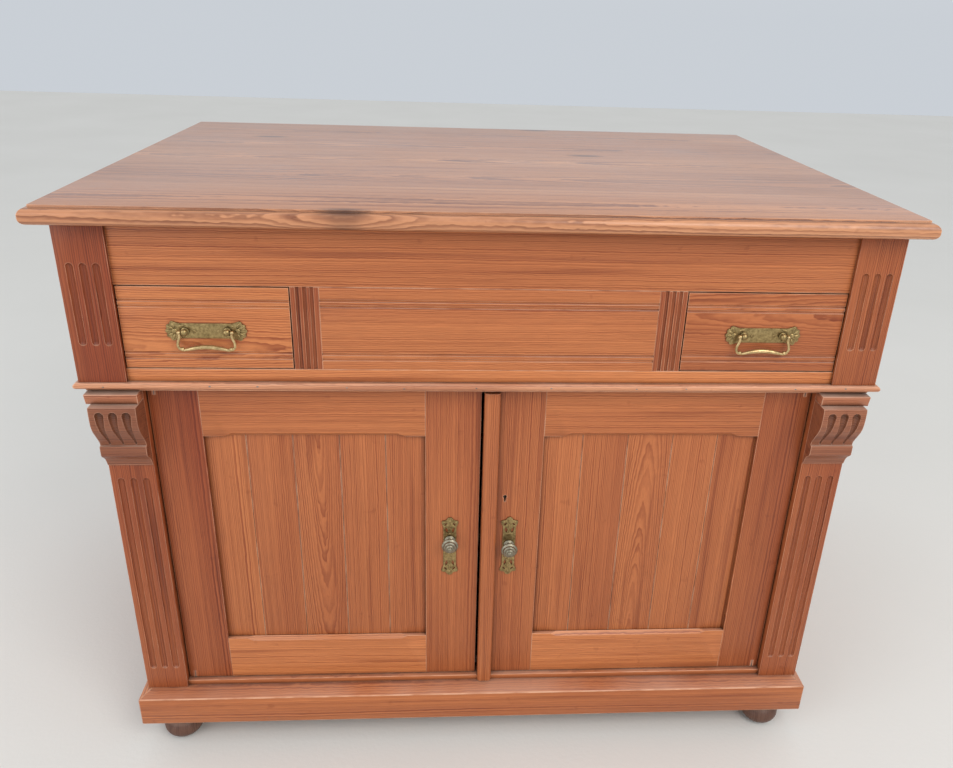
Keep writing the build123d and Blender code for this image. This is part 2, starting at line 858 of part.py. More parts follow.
pan_x = pan_width / 2
pan_back = drain_y + drain_radius + pan_back_margin
pan_front = pan_back - pan_depth
pan_base_top = cavity_floor + pan_wall
pan_pieces = [single_board((-pan_x, pan_x), (pan_front, pan_back), (cavity_floor, pan_base_top))]
for side in (-1, 1):
    pan_pieces.append(
        single_board(mirrored((pan_x - pan_wall, pan_x), side), (pan_front + pan_wall, pan_back - pan_wall),
                     (pan_base_top, pan_rim))
    )
for wall_y in ((pan_front, pan_front + pan_wall), (pan_back - pan_wall, pan_back)):
    pan_pieces.append(single_board((-pan_x, pan_x), wall_y, (pan_base_top, pan_rim)))
save("drip_pan", *pan_pieces)

# ---- Lid, its lining, seal and hinges ----
lid_half = lid_width / 2
with BuildPart() as lid_board:
    board((-lid_half, lid_half), (-lid_depth / 2, lid_depth / 2), (carcass_top, lid_top - lid_quirk_depth))
    front_edges = lid_board.edges().filter_by(Axis.X).group_by(Axis.Y)[0]
    side_edges = lid_board.edges().filter_by(Axis.Y)
    fillet(front_edges + side_edges, lid_nose_radius)
    board(
        (-lid_half + lid_quirk_inset, lid_half - lid_quirk_inset),
        (-lid_depth / 2 + lid_quirk_inset, lid_depth / 2),
        (lid_top - lid_quirk_depth, lid_top),
    )
save("lid_board", lid_board)

lid_pad_x = bay_inner - lid_pad_inset
lid_pad_y = (bay_front + lid_pad_inset, bay_back - lid_pad_inset)
save("lid_pad", single_board((-lid_pad_x, lid_pad_x), lid_pad_y, (seal_top, carcass_top)))

seal_z = (seal_top - seal_thickness, seal_top)
seal_inner_y = (lid_pad_y[0] + seal_width, lid_pad_y[1] - seal_width)
seal_strips = [
    single_board((-lid_pad_x, lid_pad_x), (lid_pad_y[0], seal_inner_y[0]), seal_z),
    single_board((-lid_pad_x, lid_pad_x), (seal_inner_y[1], lid_pad_y[1]), seal_z),
]
for side in (-1, 1):
    seal_x = mirrored((lid_pad_x - seal_width, lid_pad_x), side)
    seal_strips.append(single_board(seal_x, seal_inner_y, seal_z))
save("lid_seal", *seal_strips)

barrel_y = back + lid_hinge_barrel + hinge_play
barrel_z = carcass_top - lid_hinge_barrel - hinge_play
knuckle = lid_hinge_width / 3
fixed_leaves = []
moving_leaves = []
hinge_pins = []
for hinge_x in (-lid_hinge_spacing, 0, lid_hinge_spacing):
    leaf_x = (hinge_x - lid_hinge_width / 2, hinge_x + lid_hinge_width / 2)
    middle_x = (hinge_x - knuckle / 2, hinge_x + knuckle / 2)
    relief_z = barrel_z - lid_hinge_barrel - hinge_play
    with BuildPart() as fixed_leaf:
        board(leaf_x, (back, back + lid_hinge_leaf), (relief_z - lid_hinge_drop, relief_z))
        board(middle_x, (back, back + lid_hinge_leaf), (relief_z, barrel_z))
        drill((middle_x[0], barrel_y, barrel_z), lid_hinge_barrel, knuckle, "x", mode=Mode.ADD)
        drill((middle_x[0], barrel_y, barrel_z), lid_hinge_pin + pin_play, knuckle, "x")
    fixed_leaves.append(fixed_leaf)
    with BuildPart() as moving_leaf:
        board(leaf_x, (barrel_y - lid_hinge_reach, barrel_y), (carcass_top - lid_hinge_leaf, carcass_top))
        board(
            (middle_x[0] - hinge_play, middle_x[1] + hinge_play),
            (barrel_y - lid_hinge_barrel - hinge_play, barrel_y),
            (carcass_top - lid_hinge_leaf, carcass_top),
            mode=Mode.SUBTRACT,
        )
        for knuckle_x in (leaf_x[0], middle_x[1] + hinge_play):
            knuckle_length = knuckle - hinge_play
            drill((knuckle_x, barrel_y, barrel_z), lid_hinge_barrel, knuckle_length, "x", mode=Mode.ADD)
            drill((knuckle_x, barrel_y, barrel_z), lid_hinge_pin + pin_play, knuckle_length, "x")
    moving_leaves.append(moving_leaf)
    with BuildPart() as hinge_pin:
        drill((leaf_x[0], barrel_y, barrel_z), lid_hinge_pin, lid_hinge_width, "x", mode=Mode.ADD)
    hinge_pins.append(hinge_pin)
save("lid_hinge_leaves", *fixed_leaves)
save("lid_hinge_flaps", *moving_leaves)
save("lid_hinge_pins", *hinge_pins)

# ---- Drawers, runners and pulls ----
drawer_x = (divider_outer + drawer_play, upper_opening - drawer_play)
drawer_z = (drawer_floor + drawer_play, frieze_bottom - drawer_play)
box_front = rail_face + drawer_front_thickness
box_back = box_front + drawer_length
box_z = (drawer_floor + hinge_play, drawer_z[1] - drawer_side_drop)
runner_y = (bay_front, box_back + runner_back_reach)
pull_z = (drawer_z[0] + drawer_z[1]) / 2 - pull_below_centre
plate_y = (rail_face - pull_plate_thickness, rail_face)
bail_y = plate_y[0] - bail_stand_off
boss_inset = bail_radius + hinge_play + bail_boss_radius
runner_pieces = []
for side, name in ((-1, "left"), (1, "right")):
    front_x = mirrored(drawer_x, side)
    save(f"drawer_front_{name}", beaded_front(front_x, drawer_z, drawer_front_thickness))

    wall_inner = (front_x[0] + drawer_side_thickness, front_x[1] - drawer_side_thickness)
    box_bottom = (box_z[0] + drawer_bottom_rise, box_z[0] + drawer_bottom_rise + drawer_bottom_thickness)
    save(
        f"drawer_box_{name}",
        single_board((front_x[0], wall_inner[0]), (box_front, box_back), box_z),
        single_board((wall_inner[1], front_x[1]), (box_front, box_back), box_z),
        single_board(wall_inner, (box_back - drawer_side_thickness, box_back), (box_bottom[1], box_z[1])),
        single_board(wall_inner, (box_front, box_back), box_bottom),
    )

    for runner_x in (
        (divider_outer, divider_outer + runner_width),
        (upper_opening - runner_width, upper_opening),
    ):
        runner_pieces.append(single_board(mirrored(runner_x, side), runner_y, (waist_top, drawer_floor)))
    runner_pieces.append(
        single_board(mirrored((upper_opening, inner_side), side), runner_y,
                     (waist_top, drawer_floor + runner_width))
    )

    pull_x = (front_x[0] + front_x[1]) / 2
    bosses = (pull_x - bail_span / 2 + boss_inset, pull_x + bail_span / 2 - boss_inset)
    with BuildPart() as pull_plate:
        with BuildSketch(Plane.XZ.offset(-rail_face)):
            with Locations((pull_x, pull_z)):
                Rectangle(pull_plate_length - pull_end_length, pull_plate_height)
            end_x = pull_plate_length / 2 - pull_end_length / 2
            with Locations((pull_x - end_x, pull_z), (pull_x + end_x, pull_z)):
                Ellipse(pull_end_length / 2, pull_end_height / 2)
        extrude(amount=pull_plate_thickness)
        for boss_x in bosses:
            drill((boss_x, plate_y[0] - bail_boss_reach, pull_z), bail_boss_radius, bail_boss_reach, "y",
                  mode=Mode.ADD)
        drill((pull_x - bail_span / 2, bail_y, pull_z), bail_pin_radius + pin_play, bail_span, "x")
    save(f"pull_plate_{name}", pull_plate)

    with BuildPart() as bail:
        with BuildLine(Plane.XZ.offset(-bail_y)) as bail_path:
            arm = bail_span / 2
            FilletPolyline(
                (pull_x - arm, pull_z + bail_radius),
                (pull_x - arm - bail_flare, pull_z - bail_shoulder_drop),
                (pull_x - arm + bail_flare, pull_z - bail_drop),
                (pull_x, pull_z - bail_drop + bail_rise),
                (pull_x + arm - bail_flare, pull_z - bail_drop),
                (pull_x + arm + bail_flare, pull_z - bail_shoulder_drop),
                (pull_x + arm, pull_z + bail_radius),
                radius=bail_bend_radius,
            )
        with BuildSketch(Plane(bail_path.line @ 0, z_dir=bail_path.line % 0)):
            Circle(bail_radius)
        sweep()
        for pin_x in (pull_x - arm, pull_x + arm - bail_pin_length):
            drill((pin_x, bail_y, pull_z), bail_pin_radius, bail_pin_length, "x", mode=Mode.ADD)
    save(f"bail_{name}", bail)
save("drawer_runners", *runner_pieces)

# ---- Doors ----
door_z = (sill_top + door_play, waist_bottom - door_play)
door_y = (door_face, door_back)
opening_z = (door_z[0] + bottom_rail_width, door_z[1] - top_rail_width)
panel_face = door_face + door_panel_setback
groove_y = (panel_face - groove_play, panel_face + door_panel_thickness + groove_play)
groove_z = (opening_z[0] - groove_depth, opening_z[1] + groove_depth)
knob_plate_z = door_z[0] + knob_plate_rise
lock_middle_y = (door_face + door_back) / 2
keyhole_z = door_z[0] + keyhole_height
bolt_z = (keyhole_z + keyhole_slot_length / 2, keyhole_z + keyhole_slot_length / 2 + lock_bolt_height)
bolt_y = (lock_middle_y - lock_bolt_thickness / 2, lock_middle_y + lock_bolt_thickness / 2)
left_edge = door_split - door_gap / 2
right_edge = door_split + door_gap / 2
flush_bolt_z = (door_z[1] - lock_play - flush_bolt_length, door_z[1] - lock_play)


def chamfered_rail(x, z, edge_z, rise):
    """A door rail with a stopped chamfer on its inner front edge; rise is signed into the rail."""
    with BuildPart(mode=Mode.PRIVATE) as chamfer:
        with BuildSketch(Plane.YZ.offset(x[0] + rail_chamfer_stop)) as wedge:
            with BuildLine():
                Polyline(
                    (door_face, edge_z),
                    (door_face, edge_z + rise),
                    (door_face + rail_chamfer, edge_z),
                    close=True,
                )
            make_face()
        extrude(wedge.sketch, amount=x[1] - x[0] - 2 * rail_chamfer_stop)
        for end_x, taper in (
            (x[0] + rail_chamfer_stop, rail_chamfer_taper),
            (x[1] - rail_chamfer_stop, -rail_chamfer_taper),
        ):
            slope = Vector(taper, 0, rise).cross(Vector(taper, rail_chamfer, 0))
            inward = slope if slope.X * taper > 0 else -slope
            split(bisect_by=Plane((end_x, door_face, edge_z), z_dir=inward), keep=Keep.TOP)
    with BuildPart() as rail:
        board(x, door_y, z)
        board(x, groove_y, groove_z, mode=Mode.SUBTRACT)
        add(chamfer.part, mode=Mode.SUBTRACT)
    return rail


for side, name in ((-1, "left"), (1, "right")):
    if side < 0:
        outer_stile_x = (-lower_opening + door_play, -lower_opening + door_play + outer_stile_width)
        meeting_stile_x = (left_edge - left_meeting_stile, left_edge)
        opening_x = (outer_stile_x[1], meeting_stile_x[0])
        plate_x = left_edge - left_plate_from_edge
        knob_z = knob_plate_z + left_knob_rise
        pad_x = (outer_stile_x[0] + pad_outer_inset, left_edge - pad_meeting_inset)
    else:
        outer_stile_x = (lower_opening - door_play - outer_stile_width, lower_opening - door_play)
        meeting_stile_x = (right_edge, right_edge + right_meeting_stile)
        opening_x = (meeting_stile_x[1], outer_stile_x[0])
        plate_x = right_edge + right_plate_from_edge
        knob_z = knob_plate_z + right_knob_rise
        pad_x = (right_edge + pad_meeting_inset, outer_stile_x[1] - pad_outer_inset)
    groove_x = (opening_x[0] - groove_depth, opening_x[1] + groove_depth)

    with BuildPart() as outer_stile:
        board(outer_stile_x, door_y, door_z)
        board(groove_x, groove_y, groove_z, mode=Mode.SUBTRACT)
        for hole_z in (door_z[0], door_z[1] - pivot_length):
            drill((side * pivot_x, pivot_y, hole_z), pivot_radius + pin_play, pivot_length)

    with BuildPart() as meeting_stile:
        board(meeting_stile_x, door_y, door_z)
        board(groove_x, groove_y, groove_z, mode=Mode.SUBTRACT)
        drill((plate_x, door_face, knob_z), spindle_radius + pin_play, door_thickness, "y")
        if side < 0:
            board(
                (left_edge - lock_bolt_travel, left_edge),
                (bolt_y[0] - lock_play, bolt_y[1] + lock_play),
                (bolt_z[0] - lock_play, bolt_z[1] + lock_play),
                mode=Mode.SUBTRACT,
            )
            board(
                (flush_bolt_x - flush_bolt_half - lock_play, flush_bolt_x + flush_bolt_half + lock_play),
                (flush_bolt_y[0] - lock_play, flush_bolt_y[1]),
                (flush_bolt_z[0] - lock_play, door_z[1]),
                mode=Mode.SUBTRACT,
            )
        else:
            keyhole_x = right_edge + keyhole_from_edge
            board(
                (right_edge, right_edge + lock_depth + lock_play),
                (lock_middle_y - lock_thickness / 2, lock_middle_y + lock_thickness / 2),
                (keyhole_z - lock_height / 2, keyhole_z + lock_height / 2),
                mode=Mode.SUBTRACT,
            )
            drill((keyhole_x, door_face, keyhole_z), keyhole_radius, door_thickness / 2, "y")
            board(
                (keyhole_x - keyhole_slot / 2, keyhole_x + keyhole_slot / 2),
                (door_face, lock_middle_y),
                (keyhole_z - keyhole_slot_length, keyhole_z),
                mode=Mode.SUBTRACT,
            )

    top_rail = chamfered_rail(opening_x, (opening_z[1], door_z[1]), opening_z[1], rail_chamfer)
    bottom_rail = chamfered_rail(opening_x, (door_z[0], opening_z[0]), opening_z[0], -rail_chamfer)
    save(f"door_frame_{name}", outer_stile, meeting_stile, top_rail, bottom_rail)

    panel_x = (opening_x[0] - tongue, opening_x[1] + tongue)
    door_board_width = (panel_x[1] - panel_x[0] - (door_board_count - 1) * board_gap) / door_board_count
    panel_boards = []
    for index in range(door_board_count):
        board_x = panel_x[0] + index * (door_board_width + board_gap)
        panel_boards.append(
            single_board(
                (board_x, board_x + door_board_width),
                (panel_face, panel_face + door_panel_thickness),
                (opening_z[0] - tongue, opening_z[1] + tongue),
            )
        )
    save(f"door_panel_{name}", *panel_boards)
    save(
        f"door_pad_{name}",
        single_board(pad_x, (door_back, pad_back), (door_z[0] + pad_end_inset, door_z[1] - pad_end_inset)),
    )

    with BuildPart() as knob_plate:
        with BuildSketch(Plane.XZ.offset(-door_face)):
            with Locations((plate_x, knob_plate_z)):
                Rectangle(knob_plate_width, knob_plate_height - knob_plate_end_height)
            end_z = knob_plate_height / 2 - knob_plate_end_height / 2
            with Locations((plate_x, knob_plate_z - end_z), (plate_x, knob_plate_z + end_z)):
                Ellipse(knob_plate_end_width / 2, knob_plate_end_height / 2)
        extrude(amount=knob_plate_thickness)
        drill((plate_x, door_face - knob_plate_thickness, knob_z), spindle_radius + pin_play,
              knob_plate_thickness, "y")
    save(f"knob_plate_{name}", knob_plate)

    plate_face = door_face - knob_plate_thickness
    with BuildPart() as door_knob:
        with BuildSketch(Plane.XY) as knob_half:
            rim = knob_radius - knob_rim_thickness / 2
            rim_z = knob_waist + knob_rim_thickness
            dome_rise = knob_reach - rim_z
            with BuildLine():
                Polyline(
                    (0, -knob_reach),
                    (0, 0),
                    (knob_collar_radius, 0),
                    (knob_collar_radius, -knob_collar_thickness),
                    (knob_neck_radius, -knob_collar_thickness - knob_collar_taper),
                    (knob_neck_radius, -knob_waist),
                    (rim, -knob_waist),
                )
                ThreePointArc((rim, -knob_waist), (knob_radius, (-knob_waist - rim_z) / 2), (rim, -rim_z))
                RadiusArc((rim, -rim_z), (0, -knob_reach), (rim**2 + dome_rise**2) / (2 * dome_rise))
            make_face()
        revolve(knob_half.sketch, axis=Axis.Y)
        drill((0, 0, 0), spindle_radius, knob_plate_thickness + door_thickness, "y", mode=Mode.ADD)
        drill((0, knob_plate_thickness + door_thickness, 0), nut_radius, nut_thickness, "y", mode=Mode.ADD)
    door_knob.part.locate(Location((plate_x, plate_face, knob_z)))
    save(f"door_knob_{name}", door_knob)

with BuildPart() as astragal:
    astragal_x = (right_edge, right_edge + astragal_width)
    astragal_z = (door_z[0] - astragal_below, door_z[1] - astragal_top_gap)
    board(astragal_x, (door_face - astragal_thickness, door_face), astragal_z)
    fillet(astragal.edges().filter_by(Axis.Z).group_by(Axis.Y)[0], astragal_round)
    board(astragal_x, (sill_face - door_play / 2, door_face), (astragal_z[0], door_z[0]), mode=Mode.SUBTRACT)
save("astragal", astragal)

# ---- Pivots, lock and flush bolt ----
door_pivots = []
for x, y in pivot_places:
    for low, high in (
        (plinth_top - pivot_length + sill_height, door_z[0] + pivot_length - lock_play),
        (door_z[1] - pivot_length + lock_play, waist_bottom + pivot_length - lock_play),
    ):
        with BuildPart() as pivot:
            drill((x, y, low), pivot_radius, high - low, mode=Mode.ADD)
        door_pivots.append(pivot)
save("door_pivots", *door_pivots)

bolt_channel = lock_depth - lock_back_wall
with BuildPart() as lock_case:
    board(
        (right_edge, right_edge + lock_depth),
        (lock_middle_y - lock_thickness / 2, lock_middle_y + lock_thickness / 2),
        (keyhole_z - lock_height / 2, keyhole_z + lock_height / 2),
    )
    board(
        (right_edge, right_edge + bolt_channel),
        (bolt_y[0] - lock_play, bolt_y[1] + lock_play),
        (bolt_z[0] - lock_play, bolt_z[1] + lock_play),
        mode=Mode.SUBTRACT,
    )
    drill((right_edge + keyhole_from_edge, lock_middle_y - lock_thickness / 2, keyhole_z), keyhole_radius,
          lock_thickness, "y")
save("lock_case", lock_case)

bolt_x = (right_edge + lock_play, right_edge + bolt_channel - lock_play)
save("lock_bolt", single_board(bolt_x, bolt_y, bolt_z))

with BuildPart() as flush_bolt:
    board(
        (flush_bolt_x - flush_bolt_half, flush_bolt_x + flush_bolt_half), flush_bolt_y, flush_bolt_z
    )
    drill((flush_bolt_x, door_back, flush_bolt_z[0] + flush_bolt_width), flush_bolt_half - lock_play,
          flush_bolt_knob_reach, "y", mode=Mode.ADD)
save("flush_bolt", flush_bolt)
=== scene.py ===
import json
import math
import random
from collections import Counter

import bmesh
import bpy
from mathutils import Matrix, Vector

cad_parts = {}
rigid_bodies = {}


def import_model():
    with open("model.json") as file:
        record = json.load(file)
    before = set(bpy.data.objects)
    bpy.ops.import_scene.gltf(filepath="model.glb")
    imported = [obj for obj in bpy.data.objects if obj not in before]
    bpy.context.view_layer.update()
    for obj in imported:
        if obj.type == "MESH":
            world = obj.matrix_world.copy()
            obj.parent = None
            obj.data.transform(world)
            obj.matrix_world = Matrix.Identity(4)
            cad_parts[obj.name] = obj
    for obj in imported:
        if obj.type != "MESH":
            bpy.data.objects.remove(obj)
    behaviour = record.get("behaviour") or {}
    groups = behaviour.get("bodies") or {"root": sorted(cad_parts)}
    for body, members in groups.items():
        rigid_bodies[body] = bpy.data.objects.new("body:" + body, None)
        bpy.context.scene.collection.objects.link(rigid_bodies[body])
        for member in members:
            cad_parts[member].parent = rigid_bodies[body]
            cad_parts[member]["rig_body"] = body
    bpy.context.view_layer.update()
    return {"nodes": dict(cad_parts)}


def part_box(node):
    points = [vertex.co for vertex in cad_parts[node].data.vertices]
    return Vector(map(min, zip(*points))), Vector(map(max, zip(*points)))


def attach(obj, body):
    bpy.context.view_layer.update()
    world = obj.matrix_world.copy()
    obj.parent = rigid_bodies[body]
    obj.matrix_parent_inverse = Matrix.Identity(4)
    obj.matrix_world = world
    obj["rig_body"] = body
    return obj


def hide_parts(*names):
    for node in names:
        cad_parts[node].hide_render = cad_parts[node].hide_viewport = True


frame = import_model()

MM = 0.001
CARCASS = "carcass"


# ---------------------------------------------------------------- camera, light and floor
def make_camera():
    """The camera stands in front of the cabinet, a little above its lid, and looks down at it."""
    data = bpy.data.cameras.new("camera")
    data.sensor_width = 36.0
    data.lens = 31.39
    data.shift_x = -0.0223
    data.shift_y = -0.0097
    data.clip_start = 0.05
    camera = bpy.data.objects.new("camera", data)
    camera.location = (-0.060, -1.2786, 1.0288)
    camera.rotation_euler = [math.radians(turn) for turn in (66.2422, -1.8183, -3.422)]
    bpy.context.scene.collection.objects.link(camera)
    bpy.context.scene.camera = camera


def soft_lamp(name, place, aim, size, power, colour):
    data = bpy.data.lights.new(name, "AREA")
    data.shape = "DISK"
    data.size = size
    data.energy = power
    data.color = colour
    lamp = bpy.data.objects.new(name, data)
    lamp.location = place
    lamp.rotation_euler = (Vector(aim) - Vector(place)).to_track_quat("-Z", "Y").to_euler()
    bpy.context.scene.collection.objects.link(lamp)


def make_sky():
    """An even pale surround, a little brighter overhead than at the horizon."""
    world = bpy.data.worlds.new("studio")
    world.use_nodes = True
    bpy.context.scene.world = world
    nodes, links = world.node_tree.nodes, world.node_tree.links
    place = nodes.new("ShaderNodeTexCoord")
    split = nodes.new("ShaderNodeSeparateXYZ")
    ramp = nodes.new("ShaderNodeValToRGB")
    ramp.color_ramp.elements[0].position = 0.0
    ramp.color_ramp.elements[0].color = (0.64, 0.68, 0.73, 1)
    ramp.color_ramp.elements[1].position = 0.6
    ramp.color_ramp.elements[1].color = (0.86, 0.88, 0.90, 1)
    links.new(place.outputs["Generated"], split.inputs[0])
    links.new(split.outputs["Z"], ramp.inputs[0])
    links.new(ramp.outputs[0], nodes["Background"].inputs["Color"])
    nodes["Background"].inputs["Strength"].default_value = 0.92


# ---------------------------------------------------------------- node materials
class Finish:
    """A node material being put together; sockets and plain numbers can be mixed freely."""

    def __init__(self, name):
        self.material = bpy.data.materials.new(name)
        self.material.use_nodes = True
        self.tree = self.material.node_tree
        self.shader = self.tree.nodes["Principled BSDF"]

    def node(self, kind, **settings):
        made = self.tree.nodes.new("ShaderNode" + kind)
        for key, value in settings.items():
            setattr(made, key, value)
        return made

    def feed(self, socket, value):
        if isinstance(value, bpy.types.NodeSocket):
            self.tree.links.new(value, socket)
        elif isinstance(value, tuple) and socket.type == "RGBA":
            socket.default_value = (*value, 1)
        else:
            socket.default_value = value

    def maths(self, operation, *values, clamp=False):
        made = self.node("Math", operation=operation, use_clamp=clamp)
        for socket, value in zip(made.inputs, values):
            self.feed(socket, value)
        return made.outputs[0]

    def spread(self, vector, factors):
        """Scales a vector by a different factor on each axis."""
        made = self.node("VectorMath", operation="MULTIPLY")
        self.feed(made.inputs[0], vector)
        made.inputs[1].default_value = factors
        return made.outputs[0]

    def length(self, vector):
        made = self.node("VectorMath", operation="LENGTH")
        self.feed(made.inputs[0], vector)
        return made.outputs["Value"]

    def attribute(self, name, output):
        return self.node("Attribute", attribute_name=name).outputs[output]

    def noise(self, vector, scale=1.0, detail=2.0, roughness=0.5):
        made = self.node("TexNoise")
        self.feed(made.inputs["Vector"], vector)
        made.inputs["Scale"].default_value = scale
        made.inputs["Detail"].default_value = detail
        made.inputs["Roughness"].default_value = roughness
        return made.outputs["Fac"]

    def wobble(self, value, detail=1.0):
        """Noise along one number."""
        made = self.node("TexNoise", noise_dimensions="1D")
        self.feed(made.inputs["W"], value)
        made.inputs["Scale"].default_value = 1.0
        made.inputs["Detail"].default_value = detail
        return made.outputs["Fac"]

    def cells(self, vector, scale, output="Distance", dimensions="3D"):
        made = self.node("TexVoronoi", voronoi_dimensions=dimensions)
        self.feed(made.inputs["Vector"], vector)
        made.inputs["Scale"].default_value = scale
        return made.outputs[output]

    def ramp(self, value, *stops):
        """A ramp through (position, grey) or (position, colour) stops."""
        made = self.node("ValToRGB")
        self.feed(made.inputs[0], value)
        elements = made.color_ramp.elements
        elements[0].position = stops[0][0]
        elements[1].position = stops[-1][0]
        marks = [elements[0], *[None] * (len(stops) - 2), elements[1]]
        colours = [(*c, 1) if isinstance(c, tuple) else (c, c, c, 1) for _, c in stops]
        marks[0].color = colours[0]
        marks[-1].color = colours[-1]
        for (position, _), colour in zip(stops[1:-1], colours[1:-1]):
            elements.new(position).color = colour
        return made.outputs[0]

    def mix(self, factor, first, second, blend="MIX"):
        made = self.node("Mix", data_type="RGBA", blend_type=blend)
        self.feed(made.inputs["Factor"], factor)
        self.feed(made.inputs["A"], first)
        self.feed(made.inputs["B"], second)
        return made.outputs["Result"]

    def hollow(self, distance, samples=6, inside=False):
        """1 in the open and 0 deep in a corner; from inside, 1 on a flat and less near an arris."""
        made = self.node("AmbientOcclusion", samples=samples, inside=inside, only_local=inside)
        made.inputs["Distance"].default_value = distance
        return made.outputs["AO"]

    def place(self):
        return self.node("TexCoord").outputs["Object"]

    def facing_up(self):
        split = self.node("SeparateXYZ")
        self.feed(split.inputs[0], self.node("TexCoord").outputs["Normal"])
        return split.outputs["Z"]

    def done(self, colour, roughness, height, relief, **fixed):
        self.feed(self.shader.inputs["Base Color"], colour)
        self.feed(self.shader.inputs["Roughness"], roughness)
        bump = self.node("Bump")
        bump.inputs["Strength"].default_value = 1.0
        bump.inputs["Distance"].default_value = relief
        self.feed(bump.inputs["Height"], height)
        self.feed(self.shader.inputs["Normal"], bump.outputs[0])
        for name, value in fixed.items():
            self.feed(self.shader.inputs[name.replace("_", " ")], value)
        return self.material


def pine(name, dark, light, line, ring_gap=2.3 * MM, knots=0.0, dust=0.30, gloss=0.42, coat=0.10,
         corner_dirt_and_shade=(9 * MM, 0.25, 0.34)):
    """Pitch pine. The grain attribute gives each point's place along its board and from the
    heart of the tree; tone runs from dark red to pale orange. Arrises are lightened, partly
    as worn edges and partly as a painted highlight; corners are darkened, partly as dirt
    and partly as painted shade."""
    f = Finish(name)
    grain = f.attribute("grain", "Vector")
    tone = f.attribute("tone", "Fac")
    worn_edge_and_highlight = f.attribute("worn_edge_and_highlight", "Fac")
    drift = f.noise(f.spread(grain, (2.0, 15.0, 15.0)), detail=1.0)
    ripple = f.noise(f.spread(grain, (17.0, 120.0, 120.0)), detail=2.0)
    shiver = f.noise(f.spread(grain, (75.0, 160.0, 160.0)), detail=1.0)
    radius = f.length(f.spread(grain, (0.0, 1.0, 1.0)))
    radius = f.maths("ADD", radius, f.maths("MULTIPLY", drift, 8 * MM))
    radius = f.maths("ADD", radius, f.maths("MULTIPLY", ripple, 1.8 * MM))
    radius = f.maths("ADD", radius, f.maths("MULTIPLY", shiver, 1.7 * MM))
    flat = f.spread(grain, (2.1, 6.4, 0.0))
    knot_distance = f.cells(flat, 1.0, dimensions="2D")
    knot_choice = f.node("SeparateXYZ")
    f.feed(knot_choice.inputs[0], f.cells(flat, 1.0, output="Color", dimensions="2D"))
    chosen = f.maths("GREATER_THAN", knot_choice.outputs["X"], 0.45)
    chosen = f.maths("MULTIPLY", chosen, knots)
    swirl = f.ramp(knot_distance, (0.0, 1.0), (0.07, 0.62), (0.2, 0.0))
    swirl = f.maths("MULTIPLY", swirl, chosen)
    radius = f.maths("ADD", radius, f.maths("MULTIPLY", swirl, 9 * MM))
    rings = f.maths("DIVIDE", radius, ring_gap)
    rings = f.maths("ADD", rings, f.maths("MULTIPLY", f.wobble(f.maths("MULTIPLY", rings, 0.16)), 3.2))
    phase = f.maths("FRACT", rings)
    late = f.ramp(phase, (0.0, 0.0), (0.30, 0.06), (0.66, 0.7), (0.88, 1.0), (1.0, 0.0))
    strength = f.ramp(f.wobble(f.maths("MULTIPLY", rings, 0.43)), (0.35, 0.42), (0.62, 1.0))
    patch = f.ramp(f.noise(f.spread(grain, (3.0, 45.0, 45.0))), (0.3, 0.6), (0.6, 1.0))
    late = f.maths("MULTIPLY", late, f.maths("MULTIPLY", strength, patch))
    broad = f.noise(f.spread(grain, (1.6, 11.0, 11.0)), detail=2.0)
    shade = f.maths("ADD", tone, f.maths("MULTIPLY_ADD", broad, 0.7, -0.35), clamp=True)
    colour = f.mix(shade, dark, light)
    colour = f.mix(late, colour, f.mix(1.0, colour, line, "MULTIPLY"))
    fibre = f.noise(f.spread(grain, (30.0, 1300.0, 1300.0)), detail=3.0, roughness=0.65)
    tint = f.ramp(fibre, (0.25, 0.80), (0.75, 1.16))
    colour = f.mix(1.0, colour, tint, "MULTIPLY")
    streak = f.ramp(f.noise(f.spread(grain, (2.6, 95.0, 95.0)), detail=1.0), (0.60, 0.0), (0.72, 0.55))
    colour = f.mix(streak, colour, f.mix(1.0, colour, (0.55, 0.40, 0.36), "MULTIPLY"))
    heart = f.ramp(knot_distance, (0.0, 0.95), (0.035, 0.8), (0.075, 0.0))
    colour = f.mix(f.maths("MULTIPLY", heart, chosen), colour, (0.10, 0.036, 0.018))
    place = f.place()
    smudge = f.noise(place, 9.0, 3.0)
    scuff = f.ramp(f.noise(place, 61.0, 2.0), (0.68, 0.0), (0.76, 0.35))
    colour = f.mix(scuff, colour, f.mix(1.0, colour, (0.62, 0.50, 0.44), "MULTIPLY"))
    # Corners and recesses are darkened by occlusion: partly dirt and wax, partly painted shade.
    reach, closed, darkest = corner_dirt_and_shade
    corner = f.ramp(f.hollow(reach), (closed, darkest), (0.85, 1.0))
    colour = f.mix(1.0, colour, corner, "MULTIPLY")
    settled = f.ramp(f.facing_up(), (0.55, 0.0), (0.85, 1.0))
    settled = f.maths("MULTIPLY", settled, f.ramp(smudge, (0.35, 0.25), (0.65, 1.0)))
    colour = f.mix(f.maths("MULTIPLY", settled, dust), colour, (0.66, 0.46, 0.36))
    # Convex arrises and bevelled edges are lightened: the rubbed mask is partly worn edges and partly a
    # painted highlight.
    proud = f.ramp(f.hollow(1.2 * MM, inside=True), (0.50, 0.75), (0.93, 0.0))
    proud = f.maths("MAXIMUM", proud, f.maths("MULTIPLY", worn_edge_and_highlight, 0.8))
    rubbed = f.maths("MULTIPLY", proud, f.ramp(f.noise(place, 34.0, 2.0), (0.34, 0.25), (0.60, 0.90)))
    rubbed = f.maths("MULTIPLY", rubbed, corner)
    colour = f.mix(rubbed, colour, f.mix(0.6, light, (0.86, 0.58, 0.42)))
    roughness = f.maths("MULTIPLY_ADD", smudge, 0.26, gloss - 0.10)
    roughness = f.maths("MULTIPLY_ADD", late, -0.06, roughness)
    height = f.maths("MULTIPLY_ADD", late, -0.55, f.maths("MULTIPLY", fibre, 0.5))
    height = f.maths("MULTIPLY_ADD", f.noise(place, 40.0, 2.0), 1.6, height)
    return f.done(colour, roughness, height, 0.22 * MM, Coat_Weight=coat, Coat_Roughness=0.24,
                  Specular_IOR_Level=0.36)


